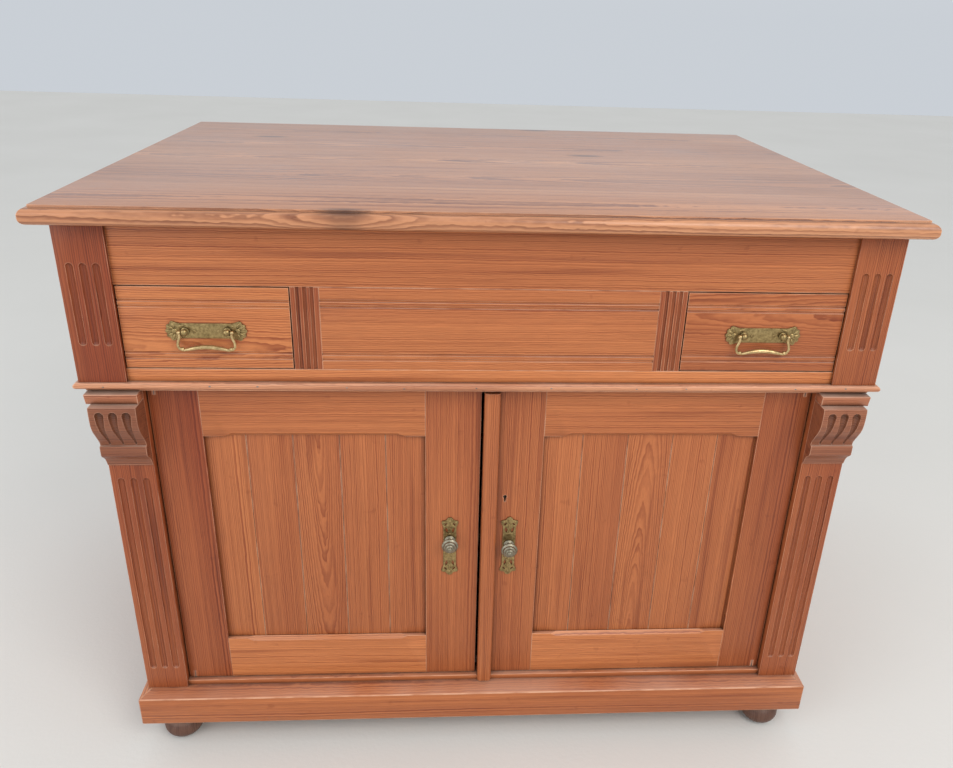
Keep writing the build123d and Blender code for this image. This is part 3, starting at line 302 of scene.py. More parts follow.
def cast_metal(name, bright, dull, stain, gloss=0.34, metallic=0.9):
    """Old cast metal: rubbed bright where it stands proud, dull and stained in its hollows."""
    f = Finish(name)
    place = f.place()
    cloud = f.noise(place, 210.0, 5.0, 0.65)
    fleck = f.noise(place, 900.0, 3.0, 0.7)
    open_face = f.hollow(2.2 * MM, samples=8)
    cloudy = f.ramp(cloud, (0.35, 0.15), (0.65, 1.0))
    rubbed = f.maths("MULTIPLY", cloudy, f.ramp(open_face, (0.55, 0.0), (0.95, 1.0)))
    colour = f.mix(rubbed, dull, bright)
    colour = f.mix(f.ramp(fleck, (0.56, 0.0), (0.7, 0.6)), colour, stain)
    colour = f.mix(1.0, colour, f.ramp(open_face, (0.2, 0.25), (0.8, 1.0)), "MULTIPLY")
    roughness = f.maths("MULTIPLY_ADD", cloud, 0.3, gloss - 0.1)
    height = f.maths("MULTIPLY_ADD", fleck, 0.5, cloud)
    return f.done(colour, roughness, height, 0.08 * MM, Metallic=metallic)


def zinc_sheet():
    """Zinc with faint crystal spangle and chalky bloom."""
    f = Finish("zinc_sheet")
    place = f.place()
    spangle = f.node("SeparateXYZ")
    f.feed(spangle.inputs[0], f.cells(place, 75.0, output="Color"))
    bloom = f.noise(place, 14.0, 4.0, 0.6)
    colour = f.mix(spangle.outputs["X"], (0.36, 0.38, 0.40), (0.52, 0.54, 0.56))
    colour = f.mix(f.ramp(bloom, (0.45, 0.0), (0.7, 0.7)), colour, (0.62, 0.63, 0.62))
    roughness = f.maths("MULTIPLY_ADD", bloom, 0.35, 0.28)
    height = f.maths("MULTIPLY_ADD", spangle.outputs["Y"], 0.3, bloom)
    return f.done(colour, roughness, height, 0.25 * MM, Metallic=0.85)


def pressed_cork():
    """Cork pressed from dark and pale granules."""
    f = Finish("pressed_cork")
    place = f.place()
    grain = f.node("SeparateXYZ")
    f.feed(grain.inputs[0], f.cells(place, 260.0, output="Color"))
    edge = f.cells(place, 260.0)
    colour = f.mix(grain.outputs["X"], (0.16, 0.085, 0.04), (0.42, 0.26, 0.13))
    colour = f.mix(f.ramp(edge, (0.4, 0.0), (0.75, 0.8)), colour, (0.07, 0.035, 0.018))
    height = f.maths("MULTIPLY_ADD", edge, -1.0, f.noise(place, 900.0, 2.0))
    return f.done(colour, f.maths("MULTIPLY_ADD", grain.outputs["Y"], 0.15, 0.8), height, 0.5 * MM)


def pressed_felt():
    """Grey wool felt with stray fibres."""
    f = Finish("pressed_felt")
    place = f.place()
    fibres = f.noise(f.spread(place, (1.0, 2.2, 1.6)), 700.0, 4.0, 0.7)
    cloud = f.noise(place, 30.0, 3.0)
    colour = f.mix(fibres, (0.13, 0.125, 0.11), (0.34, 0.33, 0.30))
    colour = f.mix(f.ramp(cloud, (0.4, 0.0), (0.7, 0.4)), colour, (0.20, 0.17, 0.13))
    roughness = f.maths("MULTIPLY_ADD", cloud, 0.1, 0.86)
    return f.done(colour, roughness, fibres, 0.6 * MM, Sheen_Weight=0.4)


def painted_board():
    """Cream paint brushed over lining boards, with painted shade in the corners."""
    f = Finish("painted_board")
    place = f.place()
    brushed = f.noise(f.spread(place, (60.0, 60.0, 3.0)), 3.0, 3.0, 0.6)
    cloud = f.noise(place, 7.0, 3.0)
    colour = f.mix(brushed, (0.62, 0.57, 0.45), (0.74, 0.70, 0.58))
    colour = f.mix(f.ramp(cloud, (0.5, 0.0), (0.8, 0.5)), colour, (0.50, 0.42, 0.28))
    # Painted shade darkens the inside corners.
    corner = f.ramp(f.hollow(12 * MM), (0.3, 0.45), (0.85, 1.0))
    colour = f.mix(1.0, colour, corner, "MULTIPLY")
    return f.done(colour, f.maths("MULTIPLY_ADD", cloud, 0.2, 0.4), brushed, 0.15 * MM, Coat_Weight=0.1)


def pale_floor():
    """The studio floor: pale, matt and very slightly mottled."""
    f = Finish("pale_floor")
    place = f.place()
    cloud = f.noise(place, 1.3, 4.0)
    colour = f.mix(cloud, (0.70, 0.69, 0.655), (0.78, 0.77, 0.74))
    return f.done(colour, f.maths("MULTIPLY_ADD", cloud, 0.1, 0.8), f.noise(place, 150.0, 3.0), 0.3 * MM)


PITCH_LINE = (0.42, 0.23, 0.17)
# The lid and carved finishes set their own corner darkening: partly dirt, partly painted shade in quirks and
# flutes.
FINISHES = {
    "waxed": pine("waxed_pitch_pine", (0.27, 0.052, 0.015), (0.68, 0.245, 0.082), PITCH_LINE),
    "lid": pine("lid_pitch_pine", (0.28, 0.075, 0.028), (0.72, 0.34, 0.165), (0.28, 0.15, 0.11),
                ring_gap=3.4 * MM, knots=1.0, dust=0.10, gloss=0.36, coat=0.45, corner_dirt_and_shade=(5 * MM, 0.52, 0.10)),
    "rubbed": pine("rubbed_pale_pine", (0.36, 0.115, 0.050), (0.76, 0.37, 0.20), PITCH_LINE, dust=0.42),
    "carved": pine("carved_dark_pine", (0.15, 0.042, 0.018), (0.46, 0.17, 0.082), (0.50, 0.36, 0.30),
                   ring_gap=2.6 * MM, dust=0.75, gloss=0.44, coat=0.14, corner_dirt_and_shade=(11 * MM, 0.34, 0.14)),
    "turned": pine("turned_foot_pine", (0.085, 0.036, 0.022), (0.26, 0.135, 0.09), (0.50, 0.36, 0.30),
                   ring_gap=2.6 * MM, dust=0.6, gloss=0.5, coat=0.08),
    "bare": pine("bare_inside_pine", (0.34, 0.20, 0.095), (0.62, 0.43, 0.235), (0.66, 0.52, 0.42),
                 ring_gap=3.4 * MM, knots=1.0, dust=0.1, gloss=0.62, coat=0.0),
    "brass": cast_metal("aged_brass", (0.47, 0.34, 0.15), (0.17, 0.115, 0.045), (0.10, 0.075, 0.035)),
    "grip": cast_metal(
        "rubbed_brass", (0.74, 0.55, 0.28), (0.36, 0.25, 0.11), (0.12, 0.09, 0.04), gloss=0.28
    ),
    "nickel": cast_metal(
        "worn_nickel", (0.36, 0.33, 0.25), (0.19, 0.17, 0.12), (0.12, 0.10, 0.065), gloss=0.36
    ),
    "steel": cast_metal(
        "dark_steel", (0.30, 0.29, 0.28), (0.12, 0.11, 0.10), (0.13, 0.055, 0.025), gloss=0.42
    ),
    "zinc": zinc_sheet(),
    "cork": pressed_cork(),
    "felt": pressed_felt(),
    "paint": painted_board(),
}


# ---------------------------------------------------------------- boards
def corner_key(vertex):
    return tuple(round(c, 6) for c in vertex.co)


def closed_solids(bm):
    """Face numbers of each closed solid: in order, one ends where no edge is left open."""
    solids = []
    current = []
    open_edges = Counter()
    for face in bm.faces:
        current.append(face.index)
        corners = [corner_key(v) for v in face.verts]
        for a, b in zip(corners, corners[1:] + corners[:1]):
            if open_edges[(b, a)] > 0:
                open_edges[(b, a)] -= 1
                if open_edges[(b, a)] == 0:
                    del open_edges[(b, a)]
            else:
                open_edges[(a, b)] += 1
        if not open_edges:
            solids.append(set(current))
            current = []
    return solids


def heart_of(chance, figure):
    """Where the heart of the tree passes a board: across it, behind it, and its slope."""
    if figure == "flame":
        return chance.uniform(-3, 3) * MM, chance.uniform(17, 19) * MM, chance.choice((-1, 1)) * 0.055
    if figure == "wide":
        return chance.uniform(-25, 25) * MM, chance.uniform(30, 60) * MM, chance.uniform(-0.03, 0.03)
    side = chance.choice((-1, 1))
    return side * chance.uniform(90, 190) * MM, chance.uniform(0, 40) * MM, chance.uniform(-0.012, 0.012)


def add_layers(bm):
    bm.loops.layers.float_vector.new("grain")
    bm.faces.layers.float.new("tone")
    bm.faces.layers.float.new("worn_edge_and_highlight")


def lay_grain(bm, chance, tone, along=None, figure="straight", faces=None):
    """Writes the grain and tone of one board, or of some of its faces."""
    grain = bm.loops.layers.float_vector["grain"]
    tones = bm.faces.layers.float["tone"]
    faces = list(bm.faces) if faces is None else faces
    points = [v.co for face in faces for v in face.verts]
    low = Vector([min(p[i] for p in points) for i in range(3)])
    high = Vector([max(p[i] for p in points) for i in range(3)])
    middle = (low + high) / 2
    size = high - low
    order = sorted(range(3), key=lambda i: -size[i])
    if along is not None:
        order = [along] + [i for i in order if i != along]
    if order[1] == 1 and size.y < 3 * size[order[2]]:
        order[1:] = [order[2], 1]
    across, behind, slope = heart_of(chance, figure)
    start = chance.uniform(-3, 3)
    board_tone = tone + chance.uniform(-0.06, 0.06)
    for face in faces:
        face[tones] = board_tone
        for loop in face.loops:
            place = loop.vert.co - middle
            run = place[order[0]]
            loop[grain] = (start + run, place[order[1]] + across, place[order[2]] + behind + slope * run)


def soften(bm, width, limit=38.0, shortest=4 * MM, segments=2):
    """Rounds the sharp arrises and marks them for lightening, partly as worn edges and partly as a painted
    highlight.
    """
    sharp = [
        e for e in bm.edges
        if len(e.link_faces) == 2
        and e.calc_face_angle(0.0) > math.radians(limit)
        and e.calc_length() > shortest
    ]
    made = bmesh.ops.bevel(
        bm, geom=sharp, offset=width, offset_type="OFFSET", segments=segments, profile=0.5,
        affect="EDGES", clamp_overlap=True, material=-1,
    )
    worn_edge_and_highlight = bm.faces.layers.float.get("worn_edge_and_highlight")
    if worn_edge_and_highlight:
        for face in made["faces"]:
            face[worn_edge_and_highlight] = 1.0


def smooth_except(bm, limit=34.0):
    for face in bm.faces:
        face.smooth = True
    for edge in bm.edges:
        edge.smooth = len(edge.link_faces) == 2 and edge.calc_face_angle(0.0) < math.radians(limit)


def pour(bm, total):
    """Adds one bmesh to another, attributes and all."""
    carrier = bpy.data.meshes.new("carrier")
    bm.to_mesh(carrier)
    total.from_mesh(carrier)
    bpy.data.meshes.remove(carrier)
    bm.free()


def add_piece(name, bm, body, finish, slot, *nodes):
    """Makes the finished piece an object that rides on a body and stands for its CAD nodes."""
    mesh = bpy.data.meshes.new(name)
    bm.to_mesh(mesh)
    bm.free()
    mesh.materials.append(FINISHES[finish])
    made = bpy.data.objects.new(name, mesh)
    bpy.context.scene.collection.objects.link(made)
    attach(made, body)
    if nodes:
        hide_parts(*nodes)
    return made


def body_of(node):
    return frame["nodes"][node]["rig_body"]


def finish_boards(node, finish, tone, slot, along=None, figures=(), arris=0.7 * MM, planks=(), limit=38.0):
    """Copies a CAD node board by board, softens each board's arrises and lays its grain.
    tone is one number or one for each board; figures names the boards with a wide figure;
    planks are the joints that divide a glued-up board, as distances along Y."""
    chance = random.Random(node)
    source = bmesh.new()
    source.from_mesh(frame["nodes"][node].data)
    groups = closed_solids(source)
    source.free()
    total = bmesh.new()
    for number, group in enumerate(groups):
        board = bmesh.new()
        board.from_mesh(frame["nodes"][node].data)
        bmesh.ops.delete(board, geom=[f for f in board.faces if f.index not in group], context="FACES")
        bmesh.ops.remove_doubles(board, verts=board.verts, dist=1e-6)
        bmesh.ops.dissolve_limit(
            board, angle_limit=math.radians(0.4), use_dissolve_boundaries=False,
            verts=board.verts, edges=board.edges, delimit=set(),
        )
        add_layers(board)
        soften(board, arris, limit)
        board_tone = tone[number] if isinstance(tone, (list, tuple)) else tone
        if planks:
            for joint in planks:
                bmesh.ops.bisect_plane(
                    board, geom=board.verts[:] + board.edges[:] + board.faces[:],
                    plane_co=(0, joint, 0), plane_no=(0, 1, 0),
                )
            limits = [-1.0, *planks, 1.0]
            for low, high in zip(limits, limits[1:]):
                inside = [f for f in board.faces if low <= f.calc_center_median().y < high]
                figure = chance.choice(("wide", "straight")) if low > -1.0 else "wide"
                lay_grain(board, chance, board_tone + chance.uniform(-0.12, 0.12), along, figure, inside)
        else:
            figure = figures[number] if number < len(figures) else "straight"
            lay_grain(board, chance, board_tone, along, figure)
        smooth_except(board)
        pour(board, total)
    return add_piece(f"{node}_{finish}", total, body_of(node), finish, slot, node)


# ---------------------------------------------------------------- carved and turned wood
def turned(profile, centre, axis, steps):
    """A turned solid: the profile's (radius, height) points are spun about an axis."""
    bm = bmesh.new()
    if axis == "z":
        points = [Vector((radius, 0, height)) for radius, height in profile]
    else:
        points = [Vector((radius, -height, 0)) for radius, height in profile]
    verts = [bm.verts.new(Vector(centre) + point) for point in points]
    edges = [bm.edges.new(pair) for pair in zip(verts, verts[1:])]
    spin_axis = (0, 0, 1) if axis == "z" else (0, 1, 0)
    bmesh.ops.spin(
        bm, geom=verts + edges, cent=centre, axis=spin_axis, angle=2 * math.pi, steps=steps, use_merge=True
    )
    bmesh.ops.remove_doubles(bm, verts=bm.verts, dist=1e-6)
    bmesh.ops.recalc_face_normals(bm, faces=bm.faces)
    return bm


def arc(start, middle, end, count):
    """Points of a smooth curve through three points, without its last one."""
    control = 2 * Vector(middle) - (Vector(start) + Vector(end)) / 2
    made = []
    for step in range(count):
        t = step / count
        made.append(tuple((1 - t) ** 2 * Vector(start) + 2 * t * (1 - t) * control + t * t * Vector(end)))
    return made


def make_feet():
    low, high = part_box("bun_feet")
    radius = 28.5 * MM
    neck = 19 * MM
    foot_top = 44 * MM
    ring = 23.5 * MM
    profile = [(0, 0), (16.5 * MM, 0)]
    profile += arc((18 * MM, 1.5 * MM), (radius, 17 * MM), (neck + 1.5 * MM, 33 * MM), 18)
    profile += [(neck + 1.5 * MM, 33 * MM), (neck, 33.6 * MM), (neck, 35 * MM)]
    profile += arc((ring - 2 * MM, 35.4 * MM), (ring, 39.5 * MM), (ring - 2 * MM, foot_top - 0.4 * MM), 8)
    profile += [(ring - 2 * MM, foot_top), (0, foot_top)]
    total = bmesh.new()
    chance = random.Random("feet")
    for x in (low.x + radius, high.x - radius):
        for y in (low.y + radius, high.y - radius):
            foot = turned(profile, (x, y, 0), "z", 48)
            add_layers(foot)
            lay_grain(foot, chance, 0.35, along=2)
            smooth_except(foot, 40)
            pour(foot, total)
    add_piece("turned_bun_feet", total, CARCASS, "turned", "dark_pine", "bun_feet")


CAPITAL_HEIGHT = 13 * MM
CAPITAL_REACH = 20 * MM
CAPITAL_SIDE_TAPER = 1.2 * MM
CAPITAL_FACE_TAPER = 0.8 * MM
CAPITAL_ARRIS = 0.9 * MM


def corbel_profile(share):
    """(reach, drop) of the bracket's front, from 0 at the top to 1 at the foot."""
    points = [(30, 0), (30.7, 2.5), (31, 8), (31, 17), (30.2, 25), (27.4, 33.5), (22.4, 41.8),
              (17.2, 50), (13.8, 56), (13, 60.4), (15.2, 61), (16.0, 62.6), (16.0, 73.4),
              (14.6, 76), (9.4, 80.4), (5.4, 85.6), (2.8, 92), (2, 95)]
    spots = [0.0]
    for a, b in zip(points, points[1:]):
        spots.append(spots[-1] + math.dist(a, b))
    wanted = share * spots[-1]
    for index in range(1, len(spots)):
        if wanted <= spots[index] or index == len(spots) - 1:
            part = (wanted - spots[index - 1]) / (spots[index] - spots[index - 1])
            a, b = Vector(points[index - 1]), Vector(points[index])
            before = Vector(points[max(index - 2, 0)])
            after = Vector(points[min(index + 1, len(points) - 1)])
            crisp = index in (10, 11, 12, 13)
            leave = (b - a) if crisp else (b - before) / 2
            reach = (b - a) if crisp else (after - a) / 2
            h = part
            return (
                (2 * h**3 - 3 * h**2 + 1) * a + (h**3 - 2 * h**2 + h) * leave
                + (3 * h**2 - 2 * h**3) * b + (h**3 - h**2) * reach
            ) * MM


def flute_depth(across, drop):
    """Depth of the three carved drops, round at the top and drawn out to a point below."""
    top, foot, widest = 6 * MM, 59 * MM, 5.4 * MM
    if not top < drop < foot:
        return 0.0
    fall = drop - top
    if fall < widest:
        half = math.sqrt(widest**2 - (widest - fall) ** 2)
    else:
        half = widest * (1 - 0.82 * (fall - widest) / (foot - top - widest))
    deepest = 0.0
    for centre in (-16.2 * MM, 0.0, 16.2 * MM):
        offset = abs(across - centre)
        if offset < half:
            deepest = max(deepest, 1.1 * math.sqrt(half**2 - offset**2))
    return deepest


def make_corbel(side, name):
    """A capital strip over a scrolled bracket with three carved drops."""
    low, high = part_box(name)
    pilaster_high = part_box("lower_pilasters")[1]
    face = high.y
    top = high.z - CAPITAL_HEIGHT
    inner_x = min(abs(low.x), abs(high.x))
    outer_x = max(abs(low.x), abs(high.x))
    width = pilaster_high.x - inner_x
    middle_x = side * (inner_x + width / 2)
    bracket = bmesh.new()
    bmesh.ops.create_grid(bracket, x_segments=114, y_segments=120, size=0.5)
    rim = [e for e in bracket.edges if len(e.link_faces) == 1]
    for v in bracket.verts:
        across = v.co.x * width
        reach, drop = corbel_profile(0.5 - v.co.y)
        v.co = (middle_x + across, face - reach + flute_depth(across, drop), top - drop)
    made = bmesh.ops.extrude_edge_only(bracket, edges=rim)
    for v in made["geom"]:
        if isinstance(v, bmesh.types.BMVert):
            v.co.y = face
    back_rim = [e for e in made["geom"] if isinstance(e, bmesh.types.BMEdge) and len(e.link_faces) == 1]
    bmesh.ops.holes_fill(bracket, edges=back_rim, sides=0)
    bmesh.ops.recalc_face_normals(bracket, faces=bracket.faces)
    add_layers(bracket)
    chance = random.Random(name)
    lay_grain(bracket, chance, 0.45, along=0)
    smooth_except(bracket, 32)

    capital = bmesh.new()
    bmesh.ops.create_cube(capital, size=1.0)
    inner, outer = side * inner_x, side * outer_x
    for v in capital.verts:
        lower = v.co.z < 0
        ahead = v.co.y < 0
        outwards = v.co.x * side > 0
        v.co = (
            (outer - side * CAPITAL_SIDE_TAPER * lower) if outwards else inner,
            (face - CAPITAL_REACH + CAPITAL_FACE_TAPER * lower) if ahead else face,
            top + (0 if lower else CAPITAL_HEIGHT),
        )
    bmesh.ops.recalc_face_normals(capital, faces=capital.faces)
    add_layers(capital)
    soften(capital, CAPITAL_ARRIS)
    lay_grain(capital, chance, 0.9, along=0)
    smooth_except(capital)
    total = bmesh.new()
    pour(bracket, total)
    pour(capital, total)
    add_piece(f"carved_{name}", total, CARCASS, "carved", "dark_pine", name)


# ---------------------------------------------------------------- brass and nickel
def dome(bm, centre, radii, turn=0.0):
    """A rounded boss stretched to its radii and turned about Y."""
    made = bmesh.ops.create_uvsphere(bm, u_segments=20, v_segments=12, radius=1.0)
    matrix = Matrix.Translation(centre) @ Matrix.Rotation(turn, 4, "Y") @ Matrix.Diagonal((*radii, 1))
    bmesh.ops.transform(bm, matrix=matrix, verts=made["verts"])


def rod(points, radii, name):
    """A round bar of changing thickness along a smooth line, as a bmesh."""
    data = bpy.data.curves.new(name, "CURVE")
    data.dimensions = "3D"
    data.bevel_depth = 1.0
    data.bevel_resolution = 5
    data.use_fill_caps = True
    spline = data.splines.new("NURBS")
    spline.points.add(len(points) - 1)
    for point, place, radius in zip(spline.points, points, radii):
        point.co = (*place, 1)
        point.radius = radius
    spline.order_u = 3
    spline.use_endpoint_u = True
    spline.resolution_u = 10
    holder = bpy.data.objects.new(name, data)
    mesh = bpy.data.meshes.new_from_object(holder)
    bm = bmesh.new()
    bm.from_mesh(mesh)
    bmesh.ops.remove_doubles(bm, verts=bm.verts, dist=1e-6)
    bmesh.ops.recalc_face_normals(bm, faces=bm.faces)
    bpy.data.objects.remove(holder)
    bpy.data.curves.remove(data)
    bpy.data.meshes.remove(mesh)
    return bm


def stamped(outlines, thickness, rounding, name):
    """A flat plate cut to its outlines, the first the rim and the rest holes, in its own XY."""
    data = bpy.data.curves.new(name, "CURVE")
    data.dimensions = "2D"
    data.fill_mode = "BOTH"
    data.extrude = thickness / 2 - rounding
    data.bevel_depth = rounding
    data.bevel_resolution = 2
    data.offset = -rounding
    for outline in outlines:
        spline = data.splines.new("POLY")
        spline.points.add(len(outline) - 1)
        for point, place in zip(spline.points, outline):
            point.co = (place[0], place[1], 0, 1)
        spline.use_cyclic_u = True
    holder = bpy.data.objects.new(name, data)
    mesh = bpy.data.meshes.new_from_object(holder)
    bm = bmesh.new()
    bm.from_mesh(mesh)
    bmesh.ops.remove_doubles(bm, verts=bm.verts, dist=1e-6)
    bmesh.ops.recalc_face_normals(bm, faces=bm.faces)
    bpy.data.objects.remove(holder)
    bpy.data.curves.remove(data)
    bpy.data.meshes.remove(mesh)
    return bm


def make_pull(name):
    """A cast drawer pull: a flat plate between two scalloped shells, with a swinging bail."""
    low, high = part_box(f"pull_plate_{name}")
    centre_x = (low.x + high.x) / 2
    centre_z = (low.z + high.z) / 2
    back_y = high.y
    half = (high.x - low.x) / 2
    shell_radius = (high.z - low.z) / 2
    thickness = 1.6 * MM
    plate = bmesh.new()
    bmesh.ops.create_cube(plate, size=1.0)
    bmesh.ops.scale(plate, vec=(2 * (half - shell_radius), thickness, 19 * MM), verts=plate.verts)
    bmesh.ops.translate(plate, vec=(centre_x, back_y - thickness / 2, centre_z), verts=plate.verts)
    soften(plate, 0.45 * MM)
    total = bmesh.new()
    pour(plate, total)
    for side in (-1, 1):
        hub = Vector((centre_x + side * (half - shell_radius), back_y, centre_z))
        lobes = 5
        fan = math.radians(78)
        outline = []
        for step in range(61):
            turn = -fan + 2 * fan * step / 60
            scallop = abs(math.cos(lobes * (turn + fan) / (2 * fan) * math.pi + math.pi / 2))
            reach = shell_radius * (0.86 + 0.14 * scallop)
            outline.append((side * reach * math.cos(turn), reach * math.sin(turn)))
        outline += [(-side * 5 * MM, 9.2 * MM), (-side * 5 * MM, -9.2 * MM)]
        shell = stamped([outline], thickness * 1.2, 0.35 * MM, "shell")
        upright = Matrix.Translation(hub - Vector((0, thickness * 0.6, 0)))
        upright = upright @ Matrix.Rotation(math.pi / 2, 4, "X")
        bmesh.ops.transform(shell, matrix=upright, verts=shell.verts)
        for lobe in range(lobes):
            turn = -fan + 2 * fan * (lobe + 0.5) / lobes
            reach = shell_radius * 0.60
            rib = hub + Vector((side * reach * math.cos(turn), -thickness * 1.15, reach * math.sin(turn)))
            dome(shell, rib, (shell_radius * 0.30, 0.95 * MM, 1.55 * MM), -side * turn if side > 0 else turn)
        dome(shell, hub + Vector((side * 2.5 * MM, -thickness * 1.2, 0)), (3.4 * MM, 1.5 * MM, 3.4 * MM))
        for corner in (-1, 1):
            leaf = hub + Vector((-side * 6.0 * MM, -thickness, corner * 6.4 * MM))
            dome(shell, leaf, (5.2 * MM, 0.7 * MM, 1.5 * MM), side * corner * math.radians(14))
        pour(shell, total)
    boss_inset = 6.1 * MM
    bail_low, bail_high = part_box(f"bail_{name}")
    bail_y = (bail_low.y + bail_high.y) / 2
    arm = 31 * MM
    for side in (-1, 1):
        boss_x = centre_x + side * (arm - boss_inset)
        profile = [(0, 0), (4.6 * MM, 0), (4.6 * MM, 1.6 * MM), (3.0 * MM, 2.2 * MM), (2.6 * MM, 3.2 * MM)]
        profile += arc((2.6 * MM, 3.2 * MM), (4.0 * MM, 6.4 * MM), (0.01 * MM, 9.0 * MM), 10)
        profile += [(0, 9.0 * MM)]
        boss = turned(profile, (boss_x, back_y - thickness, centre_z), "y", 28)
        pour(boss, total)
    for side in (-1, 1):
        pin = bmesh.new()
        place = Vector((centre_x + side * 14 * MM, back_y - thickness, centre_z - 0.5 * MM))
        dome(pin, place, (2.1 * MM, 0.8 * MM, 2.1 * MM))
        pour(pin, total)
    smooth_except(total, 40)
    node = f"pull_plate_{name}"
    add_piece(f"cast_{node}", total, body_of(node), "brass", "brass", node)

    right_half = [(0, -18.4, 2.8), (9, -19.0, 2.7), (18, -20.6, 2.3), (25.0, -22.4, 1.6), (28.8, -22.8, 1.5),
                  (32.0, -20.8, 1.7), (33.8, -16.8, 1.75), (33.2, -12.2, 1.7), (31.4, -8.0, 1.7),
                  (30.4, -4.0, 1.8), (31.0, 0.6, 1.9)]
    line = [(-x, z, r) for x, z, r in reversed(right_half[1:])] + right_half
    points = [(centre_x + x * MM, bail_y, centre_z + z * MM) for x, z, r in line]
    bail = rod(points, [r * MM for x, z, r in line], "bail_line")
    for side in (-1, 1):
        dome(bail, (centre_x + side * 31.0 * MM, bail_y, centre_z), (2.6 * MM, 2.6 * MM, 2.6 * MM))
        corner = (centre_x + side * 28.6 * MM, bail_y, centre_z - 21.2 * MM)
        dome(bail, corner, (2.6 * MM, 2.6 * MM, 2.6 * MM))
        dome(bail, (centre_x + side * 26.0 * MM, bail_y, centre_z), (5.0 * MM, 1.4 * MM, 1.4 * MM))
    smooth_except(bail, 50)
    add_piece(f"cast_bail_{name}", bail, body_of(f"bail_{name}"), "grip", "brass", f"bail_{name}")


def teardrop(centre, length, width, turn):
    """A pierced drop, pointed at one end."""
    made = []
    for step in range(28):
        angle = 2 * math.pi * step / 28
        x = width / 2 * math.sin(angle) * math.sin(angle / 2) ** 0.9
        y = length / 2 * math.cos(angle)
        made.append((
            centre[0] + x * math.cos(turn) - y * math.sin(turn),
            centre[1] + x * math.sin(turn) + y * math.cos(turn),
        ))
    return made


def make_knob_plate(name):
    """A door plate with a crown at each end, pierced with two pairs of drops."""
    low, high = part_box(f"knob_plate_{name}")
    centre = Vector(((low.x + high.x) / 2, high.y, (low.z + high.z) / 2))
    thickness = 1.6 * MM
    quarter = [(9.0, 0), (9.0, 31.5), (9.4, 33.2), (10.6, 36.4), (11.5, 39.4), (11.4, 41.6), (9.6, 42.6),
               (7.0, 43.0), (5.0, 43.6), (3.8, 46.0), (2.2, 47.6), (0, 48.0)]
    upper = quarter + [(-x, z) for x, z in reversed(quarter[:-1])]
    outline = upper + [(-x, -z) for x, z in quarter[1:]] + [(x, -z) for x, z in reversed(quarter[1:-1])]
    outline = [(x * MM, z * MM) for x, z in outline]
    holes = []
    for end in (-1, 1):
        for side in (-1, 1):
            turn = math.radians(-16 * side * end) + (0 if end > 0 else math.pi)
            holes.append(teardrop((side * 4.4 * MM, end * 27.5 * MM), 9.5 * MM, 4.6 * MM, turn))
            turn = math.radians(40 * side * end) + (0 if end > 0 else math.pi)
            holes.append(teardrop((side * 5.6 * MM, end * 37.2 * MM), 5.4 * MM, 3.0 * MM, turn))
    plate = stamped([outline, *holes], thickness, 0.3 * MM, "knob_plate")
    upright = Matrix.Translation(centre - Vector((0, thickness / 2, 0)))
    upright = upright @ Matrix.Rotation(math.pi / 2, 4, "X")
    bmesh.ops.transform(plate, matrix=upright, verts=plate.verts)
    for end in (-1, 1):
        dome(plate, centre + Vector((0, -thickness, end * 42.6 * MM)), (2.2 * MM, 0.9 * MM, 3.0 * MM))
        dome(plate, centre + Vector((0, -thickness, end * 34.0 * MM)), (1.3 * MM, 0.8 * MM, 5.4 * MM))
        for side in (-1, 1):
            scroll = centre + Vector((side * 8.4 * MM, -thickness, end * 40.0 * MM))
            dome(plate, scroll, (2.6 * MM, 0.8 * MM, 1.5 * MM), math.radians(24 * side * end))
            rib = centre + Vector((side * 1.9 * MM, -thickness, end * 27.0 * MM))
            dome(plate, rib, (0.8 * MM, 0.5 * MM, 4.6 * MM), math.radians(-12 * side * end))
    for end in (-1, 1):
        pin = centre + Vector((0, -thickness, end * 21.0 * MM))
        dome(plate, pin, (1.7 * MM, 0.7 * MM, 1.7 * MM))
    smooth_except(plate, 40)
    add_piece(f"pierced_knob_plate_{name}", plate, body_of(f"knob_plate_{name}"), "brass", "brass",
              f"knob_plate_{name}")


def make_knob(name):
    """A turned door knob with a ringed dome."""
    low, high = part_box(f"door_knob_{name}")
    radius = (high.x - low.x) / 2
    plate_low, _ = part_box(f"knob_plate_{name}")
    centre = ((low.x + high.x) / 2, plate_low.y, (low.z + high.z) / 2)
    reach = plate_low.y - low.y
    profile = [(0, 0), (7.5 * MM, 0), (7.5 * MM, 1.4 * MM), (6.9 * MM, 2.0 * MM), (5.6 * MM, 2.4 * MM)]
    profile += arc((5.0 * MM, 3.2 * MM), (4.1 * MM, 7.0 * MM), (5.2 * MM, 11.2 * MM), 8)
    profile += [(6.2 * MM, 11.8 * MM), (9.4 * MM, 12.2 * MM)]
    profile += arc((9.6 * MM, 12.2 * MM), (radius, 14.0 * MM), (9.9 * MM, 16.0 * MM), 8)
    profile += [(9.3 * MM, 16.1 * MM), (9.0 * MM, 16.6 * MM)]
    profile += arc((8.9 * MM, 17.0 * MM), (8.4 * MM, 18.8 * MM), (7.0 * MM, 19.8 * MM), 6)
    profile += [(6.4 * MM, 19.9 * MM), (6.2 * MM, 20.4 * MM)]
    profile += arc((6.0 * MM, 20.8 * MM), (5.2 * MM, 22.0 * MM), (3.9 * MM, 22.7 * MM), 5)
    profile += [(3.4 * MM, 22.7 * MM)]
    profile += arc((3.2 * MM, 23.0 * MM), (2.4 * MM, 24.4 * MM), (0.01 * MM, reach), 6)
    profile += [(0, reach)]
    knob = turned(profile, centre, "y", 48)
    smooth_except(knob, 42)
    add_piece(f"ringed_door_knob_{name}", knob, body_of(f"door_knob_{name}"), "nickel", "nickel",
              f"door_knob_{name}")


